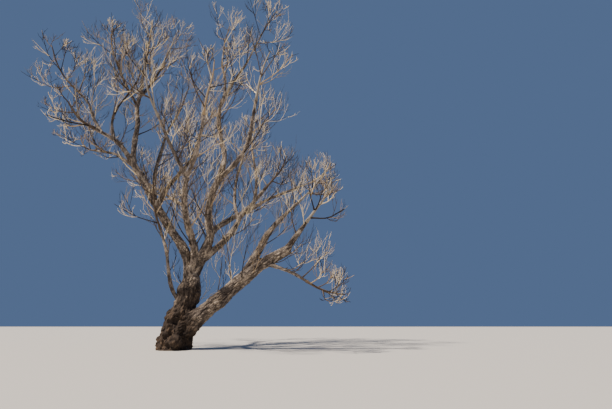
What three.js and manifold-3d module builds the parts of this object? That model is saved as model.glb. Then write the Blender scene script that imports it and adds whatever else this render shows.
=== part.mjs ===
// A whole dead tree, bare of leaves: a short stout trunk that forks low, crooked boughs that spread
// and rise from it, and masses of upright twigs at their tips. Millimetres, +Z up. The origin is the
// middle of the flat cut under the trunk, at ground level, and -Y is the side the tree is seen from.
import * as THREE from "three";
import { mergeVertices } from "three/addons/utils/BufferGeometryUtils.js";
import Module from "manifold-3d";

const wasm = await Module();
wasm.setup();

// The trunk, from the flat cut to the fork.
const TRUNK_WAY = [
  [0, 0, 0],
  [0, 0, 440],
  [140, 40, 1050],
  [160, 80, 1620],
];
const FOOT_RADIUS = 318; // under the root flare
const STEM_RADIUS = 245; // above the lowest bough
const WAIST_HEIGHT = 700; // where the stout foot narrows to the stem
const WAIST_DEPTH = 230; // how gradually it does so
const FLARE = 0.22; // how far the root flare stands out at the cut, as a share of the radius
const FLARE_HEIGHT = 110; // the flare fades by this height
const FLARE_ROOTS = 6; // buttresses round the foot
const HEAD_RADIUS = 165; // at the fork, where the boughs take over
const HEAD_START = 1250; // above this the stem narrows towards the fork
const BURL = { bearing: 200, height: 260, swell: 0.2, width: 0.9, rise: 210 };

// How every limb is shaped.
const GAP = 0.3; // between two pieces that meet
const COLLAR = 0.32; // a limb's swelling where it leaves its parent
const COLLAR_GIRTHS = 2.4; // the collar fades in this many radii
const KNOTS = 0.07; // unevenness of a limb's thickness

// The limbs. Each leaves the limb that it is on at a share of that limb's length, then takes steps
// of one length, each with its own compass bearing (0 is +X, 90 is +Y) and climb above the level,
// in degrees. girth is its radius at the foot and at the tip. A limb that carries twigs at its tip
// gives how far they reach from there.
const LIMBS = [
  { name: "left_bough", on: "trunk", at: 0.88, step: 680, girth: [114, 70],
    way: [[-133, 71], [-158, 54], [-156, 54], [-157, 57], [-157, 55]] },
  { name: "left_outer_bough", on: "left_bough", at: 0.96, step: 580, girth: [60, 40], twigs: 950,
    way: [[-160, 49], [-152, 24]] },
  { name: "left_rising_bough", on: "left_bough", at: 0.95, step: 630, girth: [66, 44],
    way: [[140, 77], [130, 76], [151, 72], [115, 83]] },
  { name: "left_top_near_branch", on: "left_rising_bough", at: 0.78, step: 350, girth: [40, 26],
    twigs: 900, way: [[-132, 47], [-131, 54], [-134, 60]] },
  { name: "left_top_branch", on: "left_rising_bough", at: 0.97, step: 750, girth: [44, 26],
    twigs: 1150, way: [[137, 78], [125, 76], [129, 72]] },
  { name: "left_top_far_branch", on: "left_rising_bough", at: 0.9, step: 860, girth: [42, 26],
    twigs: 1100, way: [[87, 64], [84, 72], [89, 75]] },
  { name: "left_inner_bough", on: "left_bough", at: 0.59, step: 580, girth: [66, 32], twigs: 1150,
    way: [[66, 68], [54, 63], [48, 63], [78, 73]] },
  { name: "left_low_bough", on: "left_bough", at: 0.9, step: 890, girth: [36, 24], twigs: 950,
    way: [[163, 34], [156, 20]] },
  { name: "left_outer_rising_branch", on: "left_outer_bough", at: 0.86, step: 420, girth: [36, 24],
    twigs: 950, way: [[-165, 56], [-148, 64], [-161, 44]] },
  { name: "left_mid_branch", on: "left_outer_bough", at: 0.6, step: 550, girth: [38, 24],
    twigs: 1000, way: [[171, 72], [104, 77], [85, 68]] },
  { name: "middle_bough", on: "left_bough", at: 0.62, step: 870, girth: [50, 30], twigs: 1150,
    way: [[138, 71], [108, 69], [107, 67], [88, 66]] },
  { name: "front_bough", on: "trunk", at: 0.95, step: 660, girth: [84, 48],
    way: [[-70, 50], [-94, 41], [-86, 42], [-70, 42]] },
  { name: "front_right_branch", on: "front_bough", at: 0.96, step: 430, girth: [42, 26], twigs: 950,
    way: [[-48, 46], [-57, 66], [-63, 72]] },
  { name: "front_left_branch", on: "front_bough", at: 0.95, step: 420, girth: [40, 26], twigs: 950,
    way: [[-125, 48], [-122, 50], [-124, 54]] },
  { name: "upright_bough", on: "trunk", at: 0.94, step: 510, girth: [116, 66],
    way: [[-21, 61], [-38, 63], [-102, 68], [-66, 71], [-32, 63]] },
  { name: "upright_right_bough", on: "upright_bough", at: 0.96, step: 560, girth: [66, 34],
    twigs: 1150, way: [[-13, 43], [-25, 57], [-46, 78], [-51, 77]] },
  { name: "upright_rising_bough", on: "upright_bough", at: 0.94, step: 770, girth: [68, 42],
    way: [[74, 76], [150, 72], [148, 78], [52, 79]] },
  { name: "upright_top_branch", on: "upright_rising_bough", at: 0.97, step: 690, girth: [40, 26],
    twigs: 1150, way: [[124, 78], [146, 72], [107, 79]] },
  { name: "upright_top_right_branch", on: "upright_rising_bough", at: 0.95, step: 540, girth: [38, 24],
    twigs: 1050, way: [[-27, 54], [-30, 46], [-28, 60]] },
  { name: "right_bough", on: "upright_bough", at: 0.19, step: 560, girth: [88, 42], twigs: 1150,
    way: [[10, 43], [47, 54], [60, 60], [49, 51], [42, 55]] },
  { name: "right_rising_bough", on: "right_bough", at: 0.5, step: 820, girth: [50, 30], twigs: 1150,
    way: [[120, 55], [105, 72], [73, 73]] },
  { name: "low_right_bough", on: "trunk", at: 0.22, step: 620, girth: [205, 106],
    way: [[-10, 38], [-10, 38], [-11, 40], [-14, 34], [-16, 26]] },
  { name: "low_right_tip_bough", on: "low_right_bough", at: 0.973, step: 390, girth: [72, 40],
    twigs: 800, way: [[-28, 50], [-22, 50]] },
  { name: "low_right_rising_bough", on: "low_right_bough", at: 0.6, step: 620, girth: [106, 34],
    twigs: 950, way: [[-5, 62], [30, 64], [40, 50], [20, 48]] },
  { name: "low_right_hooked_bough", on: "low_right_bough", at: 0.8, step: 370, girth: [44, 28],
    twigs: 650, way: [[-27, -20], [-22, -22], [-24, -30]] },
  { name: "low_left_branch", on: "trunk", at: 0.55, step: 470, girth: [46, 26], twigs: 900,
    way: [[-148, 52], [-109, 62], [-99, 64], [-125, 63]] },
  { name: "back_left_bough", on: "trunk", at: 0.92, step: 850, girth: [100, 60],
    way: [[109, 61], [126, 46], [128, 44], [119, 49]] },
  { name: "back_left_rising_bough", on: "back_left_bough", at: 0.96, step: 860, girth: [54, 30],
    twigs: 1250, way: [[126, 64], [84, 77], [85, 80]] },
  { name: "back_left_outer_bough", on: "back_left_bough", at: 0.94, step: 620, girth: [58, 30],
    twigs: 1200, way: [[150, 30], [149, 31], [157, 33]] },
  { name: "back_right_bough", on: "trunk", at: 0.94, step: 820, girth: [96, 60],
    way: [[74, 64], [82, 53], [49, 40], [37, 35]] },
  { name: "back_right_rising_bough", on: "back_right_bough", at: 0.96, step: 680, girth: [60, 32],
    twigs: 1250, way: [[81, 71], [108, 74], [135, 74]] },
  { name: "back_right_outer_bough", on: "back_right_bough", at: 0.95, step: 580, girth: [56, 30],
    twigs: 1050, way: [[22, 38], [18, 30], [8, 26]] },
];
const LEAN_OUT = 0.6; // how far beyond its limb's tip the middle of a mass of twigs lies

// How twigs branch, one row for each order. children spring along a twig from the share of its
// length at first on, spread is their angle to it in degrees, ratio their length against its own,
// and bends is the number of straight lengths that a twig of that order has.
const ORDERS = [
  { bends: 3, children: 6, first: 0.12, spread: 58, ratio: 0.72 },
  { bends: 2, children: 2, first: 0.5, spread: 46, ratio: 0.58 },
  { bends: 1, children: 0, first: 0, spread: 0, ratio: 0 },
];
const CROOK = 0.45; // sideways jog at each bend
const LIFT = 0.34; // upward turn at each bend
const GOLDEN_ANGLE = 137.5; // from one child round to the next
const THINNING = 0.62; // a twig's girth against its parent's at that place
const TWIG_TAPER = 0.45; // a twig's tip against its foot
const LEAST_TWIG_RADIUS = 8;
const CUT_BACKS = [1, 0.7, 0.45]; // a twig that doesn't fit is tried again at these lengths
const ROOM_TO_NEIGHBOUR = 14; // from a twig's middle line to the next mass of twigs
const ROOM_TO_LIMB = 12; // from a twig's side to a limb
const LOWEST_TWIG = 350; // above the ground
const TWIG_DETAIL = 1.5; // slivers finer than this are left out of a mass

const UP = new THREE.Vector3(0, 0, 1);
const radians = THREE.MathUtils.degToRad;

function headingOf(bearing, climb) {
  const level = Math.cos(radians(climb));
  return new THREE.Vector3(
    level * Math.cos(radians(bearing)),
    level * Math.sin(radians(bearing)),
    Math.sin(radians(climb)),
  );
}

function curveThrough(points) {
  return new THREE.CatmullRomCurve3(points, false, "catmullrom", 0.5);
}

// Straight legs from point to point, with each bend square to the mean of its two legs.
function wayThrough(points) {
  const legs = points.length - 1;
  const legOf = (i) => points[i + 1].clone().sub(points[i]).normalize();
  return {
    getPoint: (share) => points[Math.round(share * legs)].clone(),
    getTangent: (share) => {
      const i = Math.round(share * legs);
      return legOf(Math.max(i - 1, 0)).add(legOf(Math.min(i, legs - 1))).normalize();
    },
  };
}

// Numbers from 0 to 1 that depend only on the seed.
function chances(seed) {
  const WORD = 4294967296;
  let state = (seed * 2654435761) % WORD;
  return () => {
    state = (state * 1664525 + 1013904223) % WORD;
    return state / WORD;
  };
}

// A closed tube round a curve: a cylinder whose rings are moved along it, each turned no more than
// the curve turns, and sized by radiusAt(share along, angle round). It is grown by extra all round
// and at both ends.
function tubeSolid(curve, radiusAt, sides, rings, extra = 0) {
  const geometry = new THREE.CylinderGeometry(1, 1, 1, sides, rings);
  geometry.deleteAttribute("uv");
  geometry.deleteAttribute("normal");
  const merged = mergeVertices(geometry, 1e-5);
  const frames = [];
  let side = new THREE.Vector3(1, 0, 0);
  for (let ring = 0; ring <= rings; ring++) {
    const along = curve.getTangent(ring / rings);
    side = side.clone().addScaledVector(along, -side.dot(along)).normalize();
    const front = side.clone().cross(along).normalize();
    const stretch = (2 * ring) / rings - 1;
    const middle = curve.getPoint(ring / rings);
    if (Math.abs(stretch) === 1) middle.addScaledVector(along, stretch * extra);
    frames.push({ middle, side, front });
  }
  const place = merged.getAttribute("position");
  for (let i = 0; i < place.count; i++) {
    const [x, y, z] = [place.getX(i), place.getY(i), place.getZ(i)];
    const share = y + 0.5;
    const frame = frames[Math.round(share * rings)];
    const radius = radiusAt(share, Math.atan2(z, x)) + extra;
    const point = frame.middle
      .clone()
      .addScaledVector(frame.side, x * radius)
      .addScaledVector(frame.front, z * radius);
    place.setXYZ(i, point.x, point.y, point.z);
  }
  return solidOf(mergeVertices(merged, 1e-3));
}

// A solid from a closed geometry, without the triangles that a pointed end has shrunk to nothing.
function solidOf(geometry) {
  const corners = [];
  const index = geometry.index.array;
  for (let i = 0; i < index.length; i += 3) {
    const [a, b, c] = index.slice(i, i + 3);
    if (a !== b && b !== c && c !== a) corners.push(a, b, c);
  }
  return new wasm.Manifold(
    new wasm.Mesh({
      numProp: 3,
      vertProperties: new Float32Array(geometry.getAttribute("position").array),
      triVerts: new Uint32Array(corners),
    }),
  );
}

function geometryOf(solid) {
  const mesh = solid.getMesh();
  const geometry = new THREE.BufferGeometry();
  geometry.setAttribute("position", new THREE.BufferAttribute(mesh.vertProperties, 3));
  geometry.setIndex(new THREE.BufferAttribute(mesh.triVerts, 1));
  geometry.computeVertexNormals();
  return geometry;
}

// The piece with most in it, where a cut has left scraps.
function largestOf(solid) {
  return solid.decompose().reduce((a, b) => (b.volume() > a.volume() ? b : a));
}

function smoothStep(value) {
  const t = Math.min(Math.max(value, 0), 1);
  return t * t * (3 - 2 * t);
}

// The trunk is stout below its waist, flares into buttresses at the ground, has a burl, and narrows
// towards the fork.
function trunkRadius(share, angle) {
  const height = share * TRUNK_WAY.at(-1)[2];
  const narrowing = smoothStep((height - WAIST_HEIGHT + WAIST_DEPTH) / (2 * WAIST_DEPTH));
  const heading = smoothStep((height - HEAD_START) / (TRUNK_WAY.at(-1)[2] - HEAD_START));
  const plain =
    FOOT_RADIUS +
    (STEM_RADIUS - FOOT_RADIUS) * narrowing +
    (HEAD_RADIUS - STEM_RADIUS) * heading;
  const fade = Math.exp(-height / FLARE_HEIGHT);
  const flare = FLARE * fade * (0.6 + 0.4 * Math.cos(FLARE_ROOTS * angle + Math.sin(2 * angle)));
  const round = Math.atan2(Math.sin(angle + radians(BURL.bearing)), Math.cos(angle + radians(BURL.bearing)));
  const burl =
    BURL.swell *
    Math.exp(-((round / BURL.width) ** 2) - ((height - BURL.height) / BURL.rise) ** 2);
  return plain * (1 + flare + burl);
}

// A limb swells where it leaves its parent, and is a little uneven along its length.
function limbRadius(limb, share) {
  const [foot, tip] = limb.girth;
  const run = (share * limb.length) / (COLLAR_GIRTHS * foot);
  const knots = Math.sin(share * limb.length * 0.0085 + foot) * KNOTS * Math.min(1, 4 * (1 - share));
  return (foot + (tip - foot) * share) * (1 + COLLAR * Math.exp(-run * run) + knots);
}

// Works out each limb's curve from the limb that it is on.
function layOutLimbs() {
  const trunk = {
    name: "trunk",
    curve: curveThrough(TRUNK_WAY.map((p) => new THREE.Vector3(...p))),
    sides: 20,
    rings: 14,
    radiusAt: trunkRadius,
  };
  const limbs = new Map([["trunk", trunk]]);
  for (const row of LIMBS) {
    const points = [limbs.get(row.on).curve.getPoint(row.at)];
    for (const [bearing, climb] of row.way)
      points.push(points.at(-1).clone().addScaledVector(headingOf(bearing, climb), row.step));
    const limb = { ...row, curve: curveThrough(points), length: row.step * row.way.length };
    limb.sides = row.girth[0] > 90 ? 8 : 6;
    limb.rings = Math.ceil(1.5 * row.way.length);
    limb.radiusAt = (share) => limbRadius(limb, share);
    limbs.set(limb.name, limb);
  }
  return limbs;
}

function limbSolid(limb, extra) {
  return tubeSolid(limb.curve, limb.radiusAt, limb.sides, limb.rings, extra);
}

// Each limb, cut clear of the trunk and of the limbs before it.
function carveLimbs(limbs) {
  const solids = new Map();
  const taken = [];
  for (const limb of limbs.values()) {
    let solid = limbSolid(limb, 0);
    for (const earlier of taken) solid = solid.subtract(earlier);
    solids.set(limb.name, largestOf(solid));
    taken.push(limbSolid(limb, GAP + 0.1));
  }
  return solids;
}

// The straight legs of every limb, with the thicker end's radius, for keeping twigs off them.
function limbLegs(limbs) {
  const LEGS = 8;
  const legs = [];
  for (const limb of limbs.values())
    for (let leg = 0; leg < LEGS; leg++)
      legs.push({
        limb: limb.name,
        line: new THREE.Line3(limb.curve.getPoint(leg / LEGS), limb.curve.getPoint((leg + 1) / LEGS)),
        radius: limb.radiusAt(leg / LEGS, 0),
      });
  return legs;
}

// Each mass of twigs has a ball of space beyond its limb's tip, and shares out what two balls have
// in common by the plane between them.
function layOutMasses(limbs) {
  return [...limbs.values()]
    .filter((limb) => limb.twigs)
    .map((limb) => {
      const tip = limb.curve.getPoint(1);
      const heading = limb.curve.getTangent(1);
      const outward = heading.clone().addScaledVector(UP, LIFT).normalize();
      const centre = tip.clone().addScaledVector(outward, LEAN_OUT * limb.twigs);
      return { limb, tip, heading, centre, reach: limb.twigs };
    });
}

function keepsToItsSpace(point, mass, masses) {
  const inside = (other) => point.distanceToSquared(other.centre) - other.reach ** 2;
  const own = inside(mass);
  if (own > 0 || point.z < LOWEST_TWIG) return false;
  return masses.every((other) => {
    if (other === mass) return true;
    const room = (inside(other) - own) / (2 * mass.centre.distanceTo(other.centre));
    return room > ROOM_TO_NEIGHBOUR;
  });
}

const nearest = new THREE.Vector3();

function keepsOffLimbs(point, radius, order, mass, legs) {
  return legs.every((leg) => {
    if (order === 0 && leg.limb === mass.limb.name) return true;
    leg.line.closestPointToPoint(point, true, nearest);
    return nearest.distanceTo(point) > leg.radius + radius + ROOM_TO_LIMB;
  });
}

// The places of a twig's bends, from its foot to its tip.
function twigPoints(foot, heading, length, jogs) {
  const points = [foot.clone()];
  let along = heading.clone();
  for (const jog of jogs) {
    points.push(points.at(-1).clone().addScaledVector(along, length / jogs.length));
    along = along.addScaledVector(jog, CROOK).addScaledVector(UP, LIFT).normalize();
  }
  return points;
}

function twigFits(points, radius, order, mass, masses, legs) {
  const SAMPLES = 4;
  for (let i = 1; i < points.length; i++)
    for (let k = order === 0 && i === 1 ? SAMPLES : 1; k <= SAMPLES; k++) {
      const point = points[i - 1].clone().lerp(points[i], k / SAMPLES);
      if (!keepsToItsSpace(point, mass, masses)) return false;
      if (!keepsOffLimbs(point, radius, order, mass, legs)) return false;
    }
  return true;
}

// Two directions square to a heading and to each other.
function squareTo(heading) {
  const side = new THREE.Vector3().crossVectors(heading, UP);
  if (side.length() < 0.05) side.set(1, 0, 0);
  side.normalize();
  return [side, new THREE.Vector3().crossVectors(side, heading).normalize()];
}

// Grows one twig and what branches from it, and adds them to grown.
function growTwig(twig, mass, masses, legs, grown) {
  const rule = ORDERS[twig.order];
  const chance = chances(twig.seed);
  const jogs = [];
  for (let bend = 0; bend < rule.bends; bend++)
    jogs.push(new THREE.Vector3(chance() - 0.5, chance() - 0.5, chance() - 0.5));
  const turn = chance() * 360;
  const fitting = CUT_BACKS.map((share) => share * twig.length).find((length) =>
    twigFits(
      twigPoints(twig.foot, twig.heading, length, jogs),
      twig.radius, twig.order, mass, masses, legs,
    ),
  );
  if (fitting === undefined) return;
  const points = twigPoints(twig.foot, twig.heading, fitting, jogs);
  grown.push({ points, radius: twig.radius });
  for (let child = 0; child < rule.children; child++) {
    const share = rule.first + ((0.96 - rule.first) * child) / Math.max(rule.children - 1, 1);
    const leg = Math.min(Math.floor(share * rule.bends), rule.bends - 1);
    const along = points[leg + 1].clone().sub(points[leg]).normalize();
    const [side, front] = squareTo(along);
    const round = radians(turn + child * GOLDEN_ANGLE);
    const spread = radians(rule.spread * (1 - 0.3 * share));
    const outward = side.multiplyScalar(Math.cos(round)).addScaledVector(front, Math.sin(round));
    growTwig(
      {
        foot: points[leg].clone().lerp(points[leg + 1], share * rule.bends - leg),
        heading: along.multiplyScalar(Math.cos(spread)).addScaledVector(outward, Math.sin(spread)),
        length: twig.length * rule.ratio * (1 - 0.3 * share) * (0.85 + 0.3 * chance()),
        radius: Math.max(twig.radius * (1 - (1 - TWIG_TAPER) * share) * THINNING, LEAST_TWIG_RADIUS),
        order: twig.order + 1,
        seed: (twig.seed * 31 + child + 1) % 1000003,
      },
      mass, masses, legs, grown,
    );
  }
}

// One solid for a mass: its twigs are three-sided, and fused where they branch.
function massSolid(mass, index, masses, legs) {
  const stem = {
    foot: mass.tip.clone().addScaledVector(mass.heading, GAP),
    heading: mass.heading.clone(),
    length: mass.reach * 1.35,
    radius: mass.limb.radiusAt(1) * 0.95,
    order: 0,
    seed: 101 + index,
  };
  const grown = [];
  growTwig(stem, mass, masses, legs, grown);
  const solids = grown.map(({ points, radius }) => {
    const taper = (share) => (share < 1 ? radius * (1 - (1 - TWIG_TAPER) * share) : 0);
    return tubeSolid(wayThrough(points), taper, 3, points.length - 1);
  });
  return largestOf(wasm.Manifold.union(solids).simplify(TWIG_DETAIL));
}

const bark = new THREE.MeshStandardMaterial({ color: 0x7d6350, roughness: 0.95, metalness: 0 });
const twigBark = new THREE.MeshStandardMaterial({ color: 0xa08a72, roughness: 0.9, metalness: 0 });

const tree = new THREE.Group();

function addPiece(name, solid, material) {
  const mesh = new THREE.Mesh(geometryOf(solid), material);
  mesh.name = name;
  tree.add(mesh);
}

const limbs = layOutLimbs();
for (const [name, solid] of carveLimbs(limbs)) addPiece(name, solid, bark);

const masses = layOutMasses(limbs);
const legs = limbLegs(limbs);
masses.forEach((mass, index) => {
  const name = mass.limb.name.replace(/_(bough|branch)$/, "_twigs");
  addPiece(name, massSolid(mass, index, masses, legs), twigBark);
});

export default tree;
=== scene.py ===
"""A dead tree: bark with relief on its trunk and boughs, and masses of fine upturned twigs.

Everything is in metres, +Z up, with the origin under the trunk at ground level. The limbs and the
twigs follow the rule that the solids were made by, carried on to finer twigs within the same reach.
"""

import logging
import math
from collections.abc import Callable, Sequence
from dataclasses import dataclass, field
from enum import Enum, IntEnum

import bpy
import numpy as np
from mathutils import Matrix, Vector

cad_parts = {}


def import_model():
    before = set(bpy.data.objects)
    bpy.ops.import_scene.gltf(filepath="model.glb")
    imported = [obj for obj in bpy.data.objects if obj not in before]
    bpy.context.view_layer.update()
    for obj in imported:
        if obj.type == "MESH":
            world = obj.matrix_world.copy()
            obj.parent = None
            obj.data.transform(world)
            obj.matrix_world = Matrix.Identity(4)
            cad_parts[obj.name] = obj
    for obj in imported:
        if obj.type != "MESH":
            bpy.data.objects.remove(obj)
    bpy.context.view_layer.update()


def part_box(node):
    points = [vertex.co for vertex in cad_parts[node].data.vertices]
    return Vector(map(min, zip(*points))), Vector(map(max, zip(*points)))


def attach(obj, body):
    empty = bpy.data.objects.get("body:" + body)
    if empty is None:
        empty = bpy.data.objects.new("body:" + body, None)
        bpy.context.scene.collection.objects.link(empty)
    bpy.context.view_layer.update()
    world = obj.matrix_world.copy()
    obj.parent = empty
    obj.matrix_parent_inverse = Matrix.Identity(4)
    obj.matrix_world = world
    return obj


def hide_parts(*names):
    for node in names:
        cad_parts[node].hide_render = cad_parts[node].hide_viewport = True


LOG = logging.getLogger("dead_tree")
UP = Vector((0.0, 0.0, 1.0))
BODY = "root"
# A distance past any that counts, for a search that has found nothing yet.
FAR = 9.0
# A start so small that it changes nothing, and keeps a sum from being zero.
TRACE = 1e-9
# What scatters a lattice point and a seed into 32 bits.
LATTICE_FACTORS = (73856093, 19349663, 83492791)
LATTICE_SEED_FACTOR = 2654435
COLUMN_FACTOR = 40503
COLUMN_START = 12345
MIXER = 0x45D9F3B
MASK = 0xFFFFFFFF
# A Mix node's sockets for colours, which share their names with those for other values.
MIX_FACTOR, MIX_FIRST, MIX_SECOND, MIX_COLOUR = 0, 6, 7, 2


def linear_colour(code: str) -> tuple[float, float, float, float]:
    """Turns an sRGB hex colour into a linear one.

    Args:
        code: six hex digits after a hash.

    Returns:
        Linear red, green, blue and an alpha of 1.
    """
    shares = [int(code[i : i + 2], 16) / 255 for i in (1, 3, 5)]
    red, green, blue = (
        s / 12.92 if s <= 0.04045 else ((s + 0.055) / 1.055) ** 2.4 for s in shares
    )
    return red, green, blue, 1.0


def heading_of(bearing: float, climb: float) -> Vector:
    """Gives the direction of a compass bearing and a climb.

    Args:
        bearing: the way round in degrees, where 0 is +X and 90 is +Y.
        climb: the angle above the level, in degrees.

    Returns:
        The direction, one unit long.
    """
    turn, rise = math.radians(bearing), math.radians(climb)
    level = math.cos(rise)
    return Vector((level * math.cos(turn), level * math.sin(turn), math.sin(rise)))


class Chances:
    """Numbers from 0 to 1 that depend only on the seed, the same as the solids were made with."""

    WORD = 4294967296
    SCATTER = 2654435761
    FACTOR = 1664525
    STEP = 1013904223

    def __init__(self, seed: int) -> None:
        """Starts the row of numbers."""
        self.state = (seed * self.SCATTER) % self.WORD

    def draw(self) -> float:
        """Gives the next number."""
        self.state = (self.state * self.FACTOR + self.STEP) % self.WORD
        return self.state / self.WORD

    def above(self, least: float, span: float) -> float:
        """Gives the least value with a share of the span on top, by the next number."""
        return least + span * self.draw()


@dataclass(frozen=True)
class Limb:
    """One limb: where it leaves the limb that it is on, and the steps that it takes from there.

    Each step has its own compass bearing (0 is +X, 90 is +Y) and climb above the level, in degrees.
    girth is the radius at the foot and at the tip, and twigs how far the mass at its tip reaches.
    """

    name: str
    on: str
    at: float
    step: float
    girth: tuple[float, float]
    way: tuple[tuple[float, float], ...]
    twigs: float = 0.0

    @property
    def length(self) -> float:
        """Gives the length of all its steps."""
        return self.step * len(self.way)


LIMBS: tuple[Limb, ...] = (
    Limb("left_bough", "trunk", 0.88, 0.68, (0.114, 0.070),
         ((-133, 71), (-158, 54), (-156, 54), (-157, 57), (-157, 55))),
    Limb("left_outer_bough", "left_bough", 0.96, 0.58, (0.060, 0.040),
         ((-160, 49), (-152, 24)), twigs=0.95),
    Limb("left_rising_bough", "left_bough", 0.95, 0.63, (0.066, 0.044),
         ((140, 77), (130, 76), (151, 72), (115, 83))),
    Limb("left_top_near_branch", "left_rising_bough", 0.78, 0.35, (0.040, 0.026),
         ((-132, 47), (-131, 54), (-134, 60)), twigs=0.9),
    Limb("left_top_branch", "left_rising_bough", 0.97, 0.75, (0.044, 0.026),
         ((137, 78), (125, 76), (129, 72)), twigs=1.15),
    Limb("left_top_far_branch", "left_rising_bough", 0.9, 0.86, (0.042, 0.026),
         ((87, 64), (84, 72), (89, 75)), twigs=1.1),
    Limb("left_inner_bough", "left_bough", 0.59, 0.58, (0.066, 0.032),
         ((66, 68), (54, 63), (48, 63), (78, 73)), twigs=1.15),
    Limb("left_low_bough", "left_bough", 0.9, 0.89, (0.036, 0.024),
         ((163, 34), (156, 20)), twigs=0.95),
    Limb("left_outer_rising_branch", "left_outer_bough", 0.86, 0.42, (0.036, 0.024),
         ((-165, 56), (-148, 64), (-161, 44)), twigs=0.95),
    Limb("left_mid_branch", "left_outer_bough", 0.6, 0.55, (0.038, 0.024),
         ((171, 72), (104, 77), (85, 68)), twigs=1),
    Limb("middle_bough", "left_bough", 0.62, 0.87, (0.050, 0.030),
         ((138, 71), (108, 69), (107, 67), (88, 66)), twigs=1.15),
    Limb("front_bough", "trunk", 0.95, 0.66, (0.084, 0.048),
         ((-70, 50), (-94, 41), (-86, 42), (-70, 42))),
    Limb("front_right_branch", "front_bough", 0.96, 0.43, (0.042, 0.026),
         ((-48, 46), (-57, 66), (-63, 72)), twigs=0.95),
    Limb("front_left_branch", "front_bough", 0.95, 0.42, (0.040, 0.026),
         ((-125, 48), (-122, 50), (-124, 54)), twigs=0.95),
    Limb("upright_bough", "trunk", 0.94, 0.51, (0.116, 0.066),
         ((-21, 61), (-38, 63), (-102, 68), (-66, 71), (-32, 63))),
    Limb("upright_right_bough", "upright_bough", 0.96, 0.56, (0.066, 0.034),
         ((-13, 43), (-25, 57), (-46, 78), (-51, 77)), twigs=1.15),
    Limb("upright_rising_bough", "upright_bough", 0.94, 0.77, (0.068, 0.042),
         ((74, 76), (150, 72), (148, 78), (52, 79))),
    Limb("upright_top_branch", "upright_rising_bough", 0.97, 0.69, (0.040, 0.026),
         ((124, 78), (146, 72), (107, 79)), twigs=1.15),
    Limb("upright_top_right_branch", "upright_rising_bough", 0.95, 0.54, (0.038, 0.024),
         ((-27, 54), (-30, 46), (-28, 60)), twigs=1.05),
    Limb("right_bough", "upright_bough", 0.19, 0.56, (0.088, 0.042),
         ((10, 43), (47, 54), (60, 60), (49, 51), (42, 55)), twigs=1.15),
    Limb("right_rising_bough", "right_bough", 0.5, 0.82, (0.050, 0.030),
         ((120, 55), (105, 72), (73, 73)), twigs=1.15),
    Limb("low_right_bough", "trunk", 0.22, 0.62, (0.205, 0.106),
         ((-10, 38), (-10, 38), (-11, 40), (-14, 34), (-16, 26))),
    Limb("low_right_tip_bough", "low_right_bough", 0.973, 0.39, (0.072, 0.040),
         ((-28, 50), (-22, 50)), twigs=0.8),
    Limb("low_right_rising_bough", "low_right_bough", 0.6, 0.62, (0.106, 0.034),
         ((-5, 62), (30, 64), (40, 50), (20, 48)), twigs=0.95),
    Limb("low_right_hooked_bough", "low_right_bough", 0.8, 0.37, (0.044, 0.028),
         ((-27, -20), (-22, -22), (-24, -30)), twigs=0.65),
    Limb("low_left_branch", "trunk", 0.55, 0.47, (0.046, 0.026),
         ((-148, 52), (-109, 62), (-99, 64), (-125, 63)), twigs=0.9),
    Limb("back_left_bough", "trunk", 0.92, 0.85, (0.100, 0.060),
         ((109, 61), (126, 46), (128, 44), (119, 49))),
    Limb("back_left_rising_bough", "back_left_bough", 0.96, 0.86, (0.054, 0.030),
         ((126, 64), (84, 77), (85, 80)), twigs=1.25),
    Limb("back_left_outer_bough", "back_left_bough", 0.94, 0.62, (0.058, 0.030),
         ((150, 30), (149, 31), (157, 33)), twigs=1.2),
    Limb("back_right_bough", "trunk", 0.94, 0.82, (0.096, 0.060),
         ((74, 64), (82, 53), (49, 40), (37, 35))),
    Limb("back_right_rising_bough", "back_right_bough", 0.96, 0.68, (0.060, 0.032),
         ((81, 71), (108, 74), (135, 74)), twigs=1.25),
    Limb("back_right_outer_bough", "back_right_bough", 0.95, 0.58, (0.056, 0.030),
         ((22, 38), (18, 30), (8, 26)), twigs=1.05),
)


@dataclass
class Way:
    """A smooth way through points, drawn as the solids' ways are.

    Its direction at a place is measured over the share near to both sides of it.
    """

    points: list[Vector]
    near: float = 1e-4

    def point(self, share: float) -> Vector:
        """Gives the place at a share of the way.

        Args:
            share: 0 at the first point and 1 at the last.

        Returns:
            The place.
        """
        last = len(self.points) - 1
        leg = min(int(share * last), last - 1)
        t = share * last - leg
        b, c = self.points[leg], self.points[leg + 1]
        a = self.points[leg - 1] if leg > 0 else 2 * b - c
        d = self.points[leg + 2] if leg + 2 <= last else 2 * c - b
        pull_in, pull_out = (c - a) / 2, (d - b) / 2
        return (
            b
            + pull_in * t
            + (3 * (c - b) - 2 * pull_in - pull_out) * t**2
            + (2 * (b - c) + pull_in + pull_out) * t**3
        )

    def tangent(self, share: float) -> Vector:
        """Gives the direction of the way at a share of it."""
        low, high = max(share - self.near, 0.0), min(share + self.near, 1.0)
        return (self.point(high) - self.point(low)).normalized()


@dataclass
class GrownLimb:
    """A limb laid out in space: its way, its length, and its radius along the way."""

    name: str
    way: Way
    length: float
    radius: Callable[[float], float]
    twigs: float = 0.0


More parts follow.
